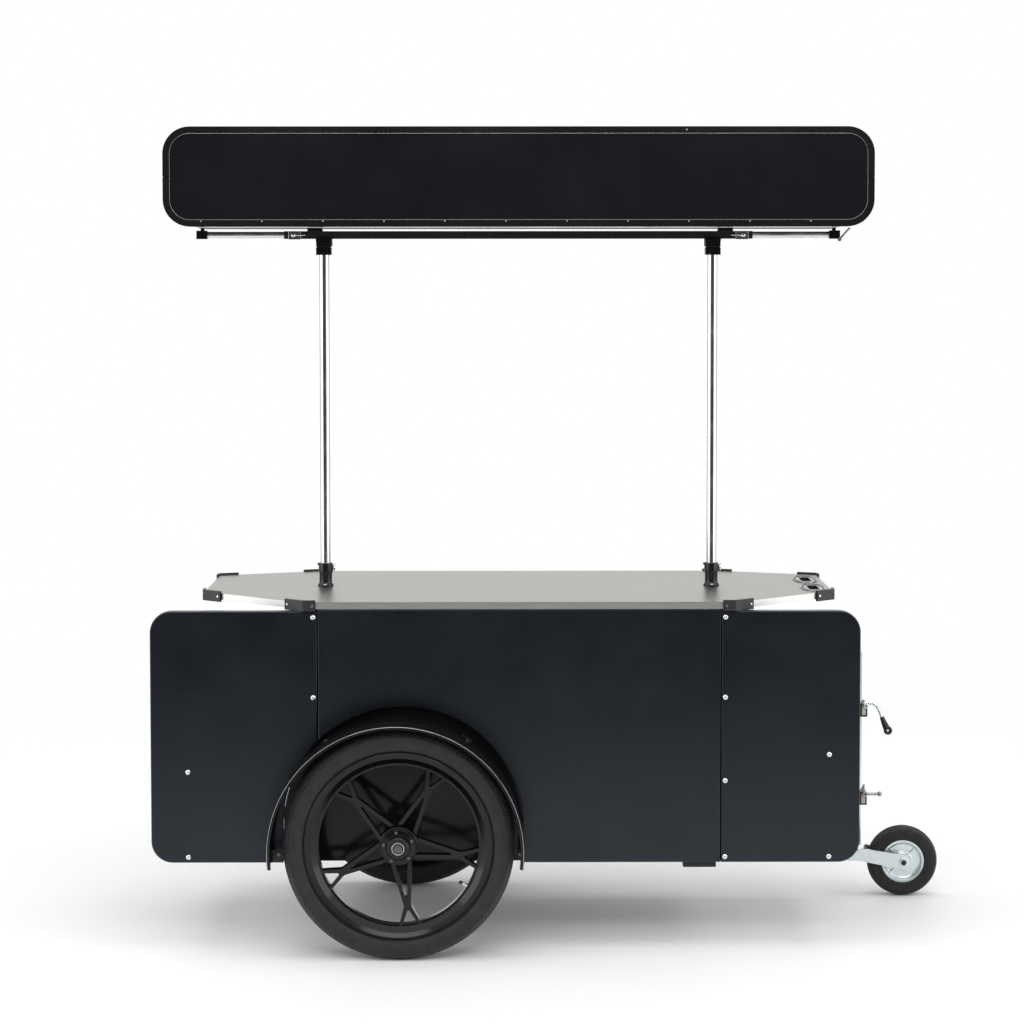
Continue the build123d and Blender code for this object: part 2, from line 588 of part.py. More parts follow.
def jockey_parts():
    axle_x = JOCKEY_X + JOCKEY_TRAIL
    at = Pos(0, JOCKEY_Y, 0)
    stem = pipe((JOCKEY_X, JOCKEY_Y, STEM_BOTTOM_Z), (JOCKEY_X, JOCKEY_Y, 700.0), STEM_R, STEM_R - 3)
    stem += rod((JOCKEY_X, JOCKEY_Y, STEM_BOTTOM_Z), (JOCKEY_X, JOCKEY_Y, STEM_BOTTOM_Z + 12), STEM_R)
    stem += rod((JOCKEY_X, JOCKEY_Y, HEAD_Z[0] + 2), (JOCKEY_X, JOCKEY_Y, STEM_BOTTOM_Z), PIN_R)
    collar = pipe((JOCKEY_X, JOCKEY_Y, COLLAR_Z[0]), (JOCKEY_X, JOCKEY_Y, COLLAR_Z[1]), COLLAR_R, PIN_R)
    rim_points = [
        (-20, 60.5), (-18, 54), (-10, 51), (-8, 30), (-14, 22), (-24, 16), (-24, JOCKEY_AXLE_R + RUNNING),
        (24, JOCKEY_AXLE_R + RUNNING), (24, 16), (14, 22), (8, 30), (10, 51), (18, 54), (20, 60.5),
    ]
    tyre_points = [
        (-20, 60.5), (-25, 66), (-25, 84), (-22, 92), (-14, 98), (0, JOCKEY_R), (14, 98), (22, 92), (25, 84),
        (25, 66), (20, 60.5),
    ]
    plates = FORK_HALF + FORK_PLATE
    bolt_y = (JOCKEY_Y - plates - 6, JOCKEY_Y + plates + 8)
    bolt = rod((axle_x, bolt_y[0], JOCKEY_R), (axle_x, bolt_y[1], JOCKEY_R), JOCKEY_AXLE_R)
    for low, high in ((bolt_y[0], JOCKEY_Y - plates), (JOCKEY_Y + plates, bolt_y[1] - 2)):
        plane = Plane(origin=(axle_x, high, JOCKEY_R), z_dir=(0, -1, 0))
        bolt += extrude(plane * RegularPolygon(10.5, 6), amount=high - low)
    return {
        "jockey_stem": group([stem, collar]),
        "jockey_fork": jockey_fork(),
        "jockey_axle": bolt,
        "jockey_rim": at * turned(rim_points, axle_x, JOCKEY_R, 1),
        "jockey_tyre": at * turned(tyre_points, axle_x, JOCKEY_R, 1),
    }


def clamp_parts():
    """The plate on the end frame, and two split clamps that hold the stem, with a lever on each."""
    plate_z = (232.0, 575.0)
    raised_z = COLLAR_Z[1] + STEM_TRAVEL
    plate = block(PLATE_X, (JOCKEY_Y - 44, JOCKEY_Y + 44), plate_z)
    collar_room = rod((JOCKEY_X, JOCKEY_Y, plate_z[0] - 1), (JOCKEY_X, JOCKEY_Y, raised_z + 4), COLLAR_R + 2)
    plate -= collar_room
    bore = rod((JOCKEY_X, JOCKEY_Y, 200.0), (JOCKEY_X, JOCKEY_Y, 600.0), STEM_R + RUNNING)
    clamps = []
    y = (JOCKEY_Y - 36, JOCKEY_Y + 36)
    for low, pivot_z in zip(CLAMP_Z, (LOWER_PIVOT_Z, UPPER_PIVOT_Z)):
        z = (low, low + CLAMP_HEIGHT)
        jaw = block((PLATE_X[1], 864.0), y, z) - bore
        pad = block((864.0, 871.5), y, z) - bore
        cap = block((871.5, 877.0), y, z)
        pin = rod((PIVOT_X, LEVER_Y - 5, pivot_z), (PIVOT_X, y[0] + 6, pivot_z), 3.0)
        clamps += [jaw, pad - pin, cap - pin, pin]
    return {"clamp_plate": plate, "jockey_clamps": group(clamps)}


def lever_boss(pivot_z):
    """The eye of a clamp lever on its pin."""
    ends = (PIVOT_X, LEVER_Y - 5, pivot_z), (PIVOT_X, LEVER_Y + 5, pivot_z)
    return rod(*ends, 7.0), rod(*ends, 3.0 + RUNNING)


def lever_parts():
    boss, hole = lever_boss(UPPER_PIVOT_Z)
    path = FilletPolyline(
        (PIVOT_X, LEVER_Y, UPPER_PIVOT_Z),
        (905.0, LEVER_Y, UPPER_PIVOT_Z),
        (923.0, LEVER_Y, 506.0),
        radius=18.0,
    )
    bar = sweep(Plane(origin=path @ 0, z_dir=path % 0) * Circle(4.2), path=path)
    start = Vector(919.4, LEVER_Y, 515.0)
    way = Vector(18.0, 0, -45.0).normalized()
    plane = Plane(origin=start, z_dir=way)
    grip = loft([plane * Circle(6.5), plane.offset(20) * Circle(8.0), plane.offset(46) * Circle(7.5)])
    grip = fillet(grip.edges().sort_by(Axis.Z)[:1], 5.0)
    tip = start + way * 36.0
    grip -= rod((tip.X, LEVER_Y - 20, tip.Z), (tip.X, LEVER_Y + 20, tip.Z), 2.2)
    upper = boss + bar - hole
    socket = rod(tuple(start), tuple(Vector(923.0, LEVER_Y, 506.0)), 4.2)
    boss, hole = lever_boss(LOWER_PIVOT_Z)
    bar = rod((PIVOT_X, LEVER_Y, LOWER_PIVOT_Z), (912.0, LEVER_Y, LOWER_PIVOT_Z), 4.0)
    stub = rod((PIVOT_X - 4, LEVER_Y, LOWER_PIVOT_Z), (PIVOT_X - 4, LEVER_Y, 326.0), 3.4)
    ball = Pos(912.0, LEVER_Y, LOWER_PIVOT_Z) * Rot(90, 0, 0) * Sphere(7.0)
    return {
        "upper_lever": upper,
        "upper_lever_grip": grip - socket,
        "lower_lever": boss + bar + stub + ball - hole,
    }


# ---- posts and sign -----------------------------------------------------------------------------------------
def socket_parts():
    """The cast sockets on the worktop, the guide tubes below them and the clamp screws in their collars."""
    screw_z = 968.0
    sockets = []
    guides = []
    parts = {}
    for name, x in zip(("clamp_screw_left", "clamp_screw_right"), POST_X):
        body = rod((x, POST_Y, COUNTER_TOP_Z), (x, POST_Y, COUNTER_TOP_Z + 8.0), 21.5)
        ears = Pos(x, POST_Y, COUNTER_TOP_Z) * Rot(0, 0, 90) * extrude(SlotOverall(66.0, 22.0), amount=6.0)
        lugs = rod((x - 22.5, POST_Y, 977.0), (x + 21.0, POST_Y, 977.0), 3.5)
        body += rod((x, POST_Y, COUNTER_TOP_Z), (x, POST_Y, 975.0), 18.0)
        body += rod((x, POST_Y, 955.0), (x, POST_Y, 981.0), 19.5)
        body += rod((x, POST_Y, screw_z), (x + 21.5, POST_Y, screw_z), 7.0) + ears + lugs
        body -= rod((x, POST_Y, COUNTER_TOP_Z - 1), (x, POST_Y, 990.0), POST_R + RUNNING)
        sockets.append(body - rod((x, POST_Y, screw_z), (x + 30.0, POST_Y, screw_z), 4.0 + RUNNING))
        screw = rod((x + POST_R + 0.5, POST_Y, screw_z), (x + 27.0, POST_Y, screw_z), 4.0)
        screw += rod((x + 22.0, POST_Y, screw_z), (x + 27.0, POST_Y, screw_z), 6.5)
        screw += rod((x + 24.5, POST_Y, screw_z - 10.0), (x + 24.5, POST_Y, screw_z + 10.0), 2.4)
        parts[name] = screw
        guides.append(pipe((x, POST_Y, FLOOR_Z + SHEET), (x, POST_Y, FRAME_TOP_Z), GUIDE_R, POST_R + 0.1))
    parts["post_sockets"] = group(sockets)
    parts["post_guides"] = group(guides)
    return parts


def sign_outline(inset):
    length = SIGN_LENGTH - 2 * inset
    height = SIGN_TOP_Z - SIGN_BOTTOM_Z - 2 * inset
    middle_z = (SIGN_TOP_Z + SIGN_BOTTOM_Z) / 2
    return Pos(MIDDLE_X, middle_z) * RectangleRounded(length, height, SIGN_CORNER_R - inset)


def sign_parts():
    front = POST_Y - SIGN_HALF_DEPTH
    back = POST_Y + SIGN_HALF_DEPTH
    lip = 4.0
    wrap = 30.0
    trims = []
    faces = []
    screws = []
    middle_z = (SIGN_TOP_Z + SIGN_BOTTOM_Z) / 2
    joint = block((-1200, 1200), (front - 5, back + 5), (middle_z - 0.4, middle_z + 0.4))
    for edge, way in ((front, 1), (back, -1)):
        lip_y = sorted((edge, edge + way * lip))
        wrap_y = sorted((edge, edge + way * wrap))
        ring = upright(sign_outline(0) - sign_outline(TRIM_WIDTH), *lip_y)
        ring += upright(sign_outline(0) - sign_outline(SHEET), *wrap_y)
        face_y = sorted((edge + way * 2.0, edge + way * 5.0))
        faces.append(upright(sign_outline(TRIM_WIDTH + 0.5), *face_y))
        pitch = 162.0
        spots = [(MIDDLE_X - 34.0 + pitch * i, SIGN_BOTTOM_Z + 14.5) for i in range(-5, 6)]
        spots.append((MIDDLE_X + 2.75 * pitch, SIGN_TOP_Z - 9.0))
        for x, z in spots:
            screws.append(rod((x, edge - way * 1.5, z), (x, edge + way * lip, z), 2.2))
        trims.append(ring)
    holes = join(screws)
    shell = sign_outline(SHEET) - sign_outline(2 * SHEET)
    blocks = []
    for x, pad_x in zip(POST_X, (MIDDLE_X - 555.0, MIDDLE_X + 565.0)):
        seat = block((x - 22, x + 22), (POST_Y - 22, POST_Y + 22), (1826.0, RAIL_BOTTOM_Z))
        blocks.append(seat - rod((x, POST_Y, 1820.0), (x, POST_Y, 1860.0), POST_R))
        z = (RAIL_BOTTOM_Z + RAIL, SIGN_BOTTOM_Z)
        blocks.append(block((pad_x - 21, pad_x + 21), (POST_Y - 20, POST_Y + 20), z))
    spine_z = (SIGN_BOTTOM_Z + 2 * SHEET, SIGN_BOTTOM_Z + 34.0)
    spine_x = (MIDDLE_X - 860, MIDDLE_X + 860)
    spine = block(spine_x, (POST_Y - 20, POST_Y + 20), spine_z)
    spine -= block(spine_x, (POST_Y - 17, POST_Y + 17), (spine_z[0] + 3, spine_z[1] - 3))
    return {
        "sign_trims": group([(trim - joint) - holes for trim in trims]),
        "sign_faces": group(faces),
        "sign_screws": group(screws),
        "sign_box": upright(shell, front + lip, back - lip),
        "sign_spine": spine,
        "roof_blocks": group(blocks),
    }


def roof_parts():
    z = (POST_BOTTOM_Z, 1860.0)
    posts = [pipe((x, POST_Y, z[0]), (x, POST_Y, z[1]), POST_R, POST_R - POST_WALL) for x in POST_X]
    rail_z = RAIL_BOTTOM_Z + RAIL / 2
    rail_x = (MIDDLE_X - 640, MIDDLE_X + 640)
    rail = square_tube("X", rail_x[0], rail_x[1], (POST_Y, rail_z), RAIL, 1.4)
    arms = []
    clips = []
    fittings = []
    for way in LEFT_RIGHT:
        inner = MIDDLE_X + way * 560.0
        outer = MIDDLE_X + way * 863.0
        arms.append(pipe((inner, POST_Y, rail_z), (outer, POST_Y, rail_z), 9.0, 7.5))
        clip_x = sorted((MIDDLE_X + way * 594.0, MIDDLE_X + way * 628.0))
        sleeve = square_tube("X", clip_x[0], clip_x[1], (POST_Y, rail_z), RAIL + 4, 2.0)
        screw_x = MIDDLE_X + way * 614.0
        screw_y = POST_Y - RAIL / 2
        clip_screw = rod((screw_x, screw_y - 9, rail_z), (screw_x, screw_y - 2, rail_z), 5.0)
        sleeve -= block(rail_x, (POST_Y - 30, POST_Y + 30), (rail_z + RAIL / 2, rail_z + RAIL))
        clips.append(sleeve + clip_screw)
        end_x = sorted((outer - way * 14.0, outer + way * 16.0))
        cap = block(end_x, (POST_Y - 13, POST_Y + 13), (rail_z - 11, rail_z + 12))
        cap += block((outer - 5, outer + 5), (POST_Y - 6, POST_Y + 6), (rail_z + 11, SIGN_BOTTOM_Z))
        fittings.append(cap - rod((inner, POST_Y, rail_z), (outer, POST_Y, rail_z), 9.0))
    tie_low = Vector(MIDDLE_X + 876.0, POST_Y - 18, 1866.0)
    tie_high = Vector(MIDDLE_X + 906.0, POST_Y - 18, SIGN_BOTTOM_Z)
    tie = rod(tuple(tie_low), tuple(tie_high), 3.5) & block((0, 1000), (0, 100), (1800, SIGN_BOTTOM_Z))
    tie += rod((tie_low.X, POST_Y - 24, 1868.0), (tie_low.X, POST_Y - 13, 1868.0), 5.5)
    return {
        "roof_posts": group(posts),
        "roof_rail": rail,
        "arm_tubes": group(arms),
        "arm_clips": group(clips),
        "arm_fittings": group(fittings),
        "tie_lever": tie,
    }


# ---- rear door ----------------------------------------------------------------------------------------------
HINGE_X = 452.0
HINGE_Y = 298.0
HINGE_Z = (350.0, 740.0)
KNUCKLE_R = 6.0
HINGE_PIN_R = 3.0


def door_parts():
    door_x = (DOOR_LEFT_X, CORE_X[1])
    door_z = (230.0, 861.0)
    shell = tray(rectangle(door_x, door_z), FACE_Y, FRAME_Y + 1.0)
    leaves = []
    for z in HINGE_Z:
        bore = rod((HINGE_X, HINGE_Y, z - 40), (HINGE_X, HINGE_Y, z + 40), HINGE_PIN_R)
        for low, high in ((z - 30, z - 10.5), (z + 10.5, z + 30)):
            knuckle = rod((HINGE_X, HINGE_Y, low), (HINGE_X, HINGE_Y, high), KNUCKLE_R)
            leaf = block((CORE_X[1] + SHEET, CORE_X[1] + SHEET + 2), (250.0, HINGE_Y), (low, high))
            leaves.append(knuckle + leaf - bore)
        leaves.append(rod((HINGE_X, HINGE_Y, z - 32), (HINGE_X, HINGE_Y, z + 32), HINGE_PIN_R))
        knuckle = rod((HINGE_X, HINGE_Y, z - 10), (HINGE_X, HINGE_Y, z + 10), KNUCKLE_R)
        flap = block((400.0, HINGE_X), (FACE_Y, HINGE_Y), (z - 10, z + 10))
        room = rod((HINGE_X, HINGE_Y, z - 11), (HINGE_X, HINGE_Y, z + 11), HINGE_PIN_R + RUNNING)
        shell += knuckle + flap - room
    path = FilletPolyline(
        (-55.0, FACE_Y, 500.0), (-55.0, FACE_Y + 34, 500.0),
        (-55.0, FACE_Y + 34, 640.0), (-55.0, FACE_Y, 640.0),
        radius=12.0,
    )
    handle = sweep(Plane(origin=path @ 0, z_dir=path % 0) * Circle(5.0), path=path)
    return {"rear_door": shell, "door_handle": handle, "hinge_leaves": group(leaves)}


def main():
    parts = {}
    parts.update(frame_parts())
    parts.update(panel_parts())
    parts["panel_screws"] = panel_screws()
    parts.update(worktop_parts())
    parts.update(axle_parts())
    for name, side in (("near", NEAR), ("far", FAR)):
        parts[f"wheel_{name}"] = road_wheel(side)
        parts[f"tyre_{name}"] = tyre(side)
        parts[f"bearings_{name}"] = bearings(side)
    parts.update(fender_fixings())
    parts.update(jockey_parts())
    parts.update(clamp_parts())
    parts.update(lever_parts())
    parts.update(socket_parts())
    parts.update(sign_parts())
    parts.update(roof_parts())
    parts.update(door_parts())
    os.makedirs("parts", exist_ok=True)
    for name, shape in parts.items():
        export_step(shape, f"parts/{name}.step")
    print(len(parts), "nodes")


main()
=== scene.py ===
"""Looks of the push vending cart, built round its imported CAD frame.

Metres, in the part's own frame: X runs along the counter, -Y faces the customer, +Z is up.
"""
import json
import math

import bmesh
import bpy
from mathutils import Matrix, Vector

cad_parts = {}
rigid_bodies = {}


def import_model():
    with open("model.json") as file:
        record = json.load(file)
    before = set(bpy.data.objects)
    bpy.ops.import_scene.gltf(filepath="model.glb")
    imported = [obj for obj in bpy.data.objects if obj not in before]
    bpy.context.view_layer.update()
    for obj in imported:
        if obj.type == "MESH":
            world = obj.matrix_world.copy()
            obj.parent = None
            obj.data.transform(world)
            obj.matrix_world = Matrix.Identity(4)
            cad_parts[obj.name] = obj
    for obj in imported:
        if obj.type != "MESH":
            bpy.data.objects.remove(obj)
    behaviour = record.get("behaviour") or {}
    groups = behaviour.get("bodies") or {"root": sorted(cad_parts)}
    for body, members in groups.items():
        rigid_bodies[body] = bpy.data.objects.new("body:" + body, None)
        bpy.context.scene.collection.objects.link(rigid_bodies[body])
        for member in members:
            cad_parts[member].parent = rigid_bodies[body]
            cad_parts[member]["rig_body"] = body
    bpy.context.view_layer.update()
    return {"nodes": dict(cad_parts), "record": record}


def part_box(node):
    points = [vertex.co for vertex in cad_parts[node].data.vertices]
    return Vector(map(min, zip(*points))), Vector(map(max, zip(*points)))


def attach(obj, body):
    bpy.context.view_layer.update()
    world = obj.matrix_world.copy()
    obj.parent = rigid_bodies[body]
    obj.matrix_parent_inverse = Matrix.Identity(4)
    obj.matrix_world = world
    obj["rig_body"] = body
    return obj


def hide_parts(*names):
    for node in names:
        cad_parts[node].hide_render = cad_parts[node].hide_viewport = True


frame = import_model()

NODES = frame["nodes"]
SLOT_OF = {part["node"]: part["material_slot"] for part in frame["record"]["subparts"]}
NEAR = -1
FAR = 1
UP = Vector((0, 0, 1))
RIGHT = Vector((1, 0, 0))
COUNTER_TOP = 0.916


# ---- points and outlines -------------------------------------------------------------------------
def mm(*values):
    """Millimetres turned into metres."""
    return [value / 1000 for value in values]


def rounded(points, radius, steps=4):
    """A closed outline whose corners are turned into arcs of one radius, or of one each."""
    radii = radius if isinstance(radius, (list, tuple)) else [radius] * len(points)
    result = []
    for i, (x, y) in enumerate(points):
        corner = Vector((x, y))
        before = Vector(points[i - 1]) - corner
        after = Vector(points[(i + 1) % len(points)]) - corner
        half = before.angle(after) / 2
        if radii[i] <= 0 or half > math.radians(88):
            result.append(tuple(corner))
            continue
        reach = min(radii[i] / math.tan(half), 0.48 * before.length, 0.48 * after.length)
        start = before.normalized() * reach
        end = after.normalized() * reach
        hub = (start + end).normalized() * (reach / math.cos(half))
        for k in range(steps + 1):
            way = (start - hub).normalized().slerp((end - hub).normalized(), k / steps)
            result.append(tuple(corner + hub + way * (start - hub).length))
    return result


def rectangle(half_x, half_y):
    """A rectangle's corners, from its half sizes in millimetres."""
    return [mm(-half_x, -half_y), mm(half_x, -half_y), mm(half_x, half_y), mm(-half_x, half_y)]


def circle_outline(radius, count):
    turn = 2 * math.pi / count
    return [(radius * math.cos(turn * k), radius * math.sin(turn * k)) for k in range(count)]


def hexagon_radius(across_corners, angle):
    """Distance from the middle of a hexagon to its side at an angle."""
    return across_corners * math.cos(math.pi / 6) / math.cos((angle % (math.pi / 3)) - math.pi / 6)


# ---- solids: lists of points and of faces --------------------------------------------------------
def loft(sections, loop=False):
    """A skin over a row of equal closed sections, closed at its ends unless the row is a loop."""
    points = [point for section in sections for point in section]
    size = len(sections[0])
    rows = len(sections)
    faces = []
    for i in range(rows if loop else rows - 1):
        here = i * size
        there = (i + 1) % rows * size
        for k in range(size):
            n = (k + 1) % size
            faces.append((here + k, here + n, there + n, there + k))
    if not loop:
        faces.append(tuple(range(size))[::-1])
        faces.append(tuple(range((rows - 1) * size, rows * size)))
    return points, faces


def joined(*solids):
    """Several solids as one."""
    points = []
    faces = []
    for own_points, own_faces in solids:
        start = len(points)
        points += own_points
        faces += [tuple(start + k for k in face) for face in own_faces]
    return points, faces


def placed(solid, matrix):
    """A solid moved by a matrix."""
    return [tuple(matrix @ Vector(p)) for p in solid[0]], solid[1]


def facing(direction):
    """A turn that takes +Z to a direction."""
    return Vector(direction).to_track_quat("Z", "Y").to_matrix().to_4x4()


def stand(solid, at, direction):
    """A solid drawn along +Z from the origin, moved to a point and turned to a direction."""
    return placed(solid, Matrix.Translation(at) @ facing(direction))


def lathe(outline, at, direction, count):
    """A closed outline of (distance along a line, radius) points turned round that line."""
    sections = []
    for k in range(count):
        angle = 2 * math.pi * k / count
        sections.append([(r * math.cos(angle), r * math.sin(angle), along) for along, r in outline])
    return stand(loft(sections, loop=True), at, direction)


def spindle(steps, count=32):
    """A round shape along +Z through (height, radius) steps; a radius may be a function of the angle."""
    sections = []
    for height, radius in steps:
        section = []
        for k in range(count):
            angle = 2 * math.pi * k / count
            r = radius(angle) if callable(radius) else radius
            section.append((r * math.cos(angle), r * math.sin(angle), height))
        sections.append(section)
    return loft(sections)


def tube_along(path, radius, count=16, closed=False):
    """A round bar along a path of points; the radius may be a function of the distance travelled."""
    points = [Vector(p) for p in path]
    last = len(points) - 1
    sections = []
    across = None
    travelled = 0.0
    for i, point in enumerate(points):
        after = points[(i + 1) % len(points) if closed else min(i + 1, last)]
        before = points[i - 1 if closed else max(i - 1, 0)]
        ahead = (after - before).normalized()
        if across is None:
            across = ahead.orthogonal().normalized()
        across = (across - ahead * across.dot(ahead)).normalized()
        other = ahead.cross(across)
        if i:
            travelled += (point - points[i - 1]).length
        r = radius(travelled) if callable(radius) else radius
        sections.append([tuple(point + across * x + other * y) for x, y in circle_outline(r, count)])
    return loft(sections, closed)


def bevelled(solid, width, steps=2, sharp_deg=30):
    """The solid with its sharp edges rounded."""
    bm = bmesh.new()
    verts = [bm.verts.new(p) for p in solid[0]]
    for face in solid[1]:
        bm.faces.new([verts[k] for k in face])
    bmesh.ops.remove_doubles(bm, verts=bm.verts, dist=1e-6)
    bmesh.ops.recalc_face_normals(bm, faces=bm.faces)
    round_edges(bm, width, steps, sharp_deg)
    bm.verts.index_update()
    result = [tuple(v.co) for v in bm.verts], [tuple(v.index for v in f.verts) for f in bm.faces]
    bm.free()
    return result


def round_edges(bm, width, steps, sharp_deg):
    """Rounds the edges of a bmesh that are sharper than an angle."""
    limit = math.radians(sharp_deg)
    edges = [e for e in bm.edges if len(e.link_faces) == 2 and e.calc_face_angle(0) > limit]
    bmesh.ops.bevel(
        bm, geom=edges, offset=width, offset_type="OFFSET", segments=steps, profile=0.5, affect="EDGES",
        clamp_overlap=True,
    )


def block(low, high, width):
    """A box between two corners with its edges rounded."""
    (x0, y0, z0), (x1, y1, z1) = low, high
    section = [(x0, y0), (x1, y0), (x1, y1), (x0, y1)]
    return bevelled(loft([[(x, y, z) for x, y in section] for z in (z0, z1)]), width)


def plate(outline, y_low, y_high, width, steps):
    """An outline drawn in X and Z, made thick along Y, with its edges rounded."""
    sheet = loft([[(x, y, z) for x, z in outline] for y in (y_low, y_high)])
    return bevelled(sheet, width, steps, sharp_deg=20)


def screw(radius, dome, socket, shank_radius=0.0, shank=0.0):
    """A domed screw head on its seat at the origin, with a hexagon socket in it and a shank below."""

    def key(angle):
        return hexagon_radius(socket, angle)

    steps = [(-shank, shank_radius), (-0.0002, shank_radius)] if shank else []
    steps += [(0.0, radius * 0.96), (0.12 * dome, radius), (0.3 * dome, radius * 0.985)]
    steps += [(dome * math.sin(t), radius * math.cos(t) ** 0.8) for t in (0.5, 0.75, 1.0)]
    steps += [(dome * 0.99, socket * 1.1), (dome * 0.96, key)]
    steps += [(dome * 0.35, key), (dome * 0.3, socket * 0.4)]
    return spindle(steps, 36)


def hex_nut(across_corners, height, bore):
    """A chamfered hexagon nut along +Z from the origin, closed round its bore."""

    def side(shave):
        return lambda angle: min(hexagon_radius(across_corners, angle), across_corners * shave)

    steps = [(0, side(0.9)), (height * 0.07, side(1.0)), (height * 0.9, side(1.0)), (height, side(0.89))]
    steps += [(height, bore * 1.12), (height - 0.0008, bore)]
    return spindle(steps, 72)


# ---- turning solids into pieces ------------------------------------------------------------------
MATERIALS = {}
CRISP_DEG = 32  # sharper edges than this stay crisp in the shading
CAD_SHARP_DEG = 35  # sharper edges than this are rounded on a CAD shape


def piece(name, solid, body, slot, replaces=(), finish=None):
    """Makes an object of a solid, in its slot's own material or in another finish."""
    mesh = bpy.data.meshes.new(name)
    mesh.from_pydata(solid[0], [], solid[1])
    bm = bmesh.new()
    bm.from_mesh(mesh)
    bmesh.ops.recalc_face_normals(bm, faces=bm.faces)
    bm.to_mesh(mesh)
    bm.free()
    dress(name, mesh, body, slot, replaces, finish)


def dress(name, mesh, body, slot, replaces, finish):
    """Makes an object of a mesh, with its shading and material, riding on a CAD body."""
    mesh.shade_smooth()
    mesh.set_sharp_from_angle(angle=math.radians(CRISP_DEG))
    mesh.materials.clear()
    mesh.materials.append(MATERIALS[finish or slot])
    obj = bpy.data.objects.new(name, mesh)
    bpy.context.scene.collection.objects.link(obj)
    flat = obj.modifiers.new("flat_faces_stay_flat", "WEIGHTED_NORMAL")
    flat.keep_sharp = True
    flat.weight = 100
    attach(obj, body)
    if replaces:
        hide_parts(*replaces)


def cad_copy(node):
    """A bmesh of a CAD node with its split points joined."""
    bm = bmesh.new()
    bm.from_mesh(NODES[node].data)
    bmesh.ops.remove_doubles(bm, verts=bm.verts, dist=2e-6)
    return bm


def soften(node, width, finish):
    """Makes a copy of a CAD node with rounded edges, which stands for it."""
    bm = cad_copy(node)
    bmesh.ops.dissolve_limit(bm, angle_limit=math.radians(0.5), verts=bm.verts, edges=bm.edges)
    round_edges(bm, width, 2, CAD_SHARP_DEG)
    mesh = bpy.data.meshes.new(node + "_soft")
    bm.to_mesh(mesh)
    bm.free()
    dress(node + "_soft", mesh, NODES[node]["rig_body"], SLOT_OF[node], (node,), finish)


def islands(node):
    """The middle and the half size of each loose solid of a CAD node."""
    bm = cad_copy(node)
    left = set(bm.verts)
    found = []
    while left:
        group = [left.pop()]
        for vert in group:
            for edge in vert.link_edges:
                other = edge.other_vert(vert)
                if other in left:
                    left.remove(other)
                    group.append(other)
        low = Vector([min(v.co[k] for v in group) for k in range(3)])
        high = Vector([max(v.co[k] for v in group) for k in range(3)])
        found.append(((low + high) / 2, (high - low) / 2))
    bm.free()
    return sorted(found, key=lambda item: tuple(round(c, 4) for c in item[0]))


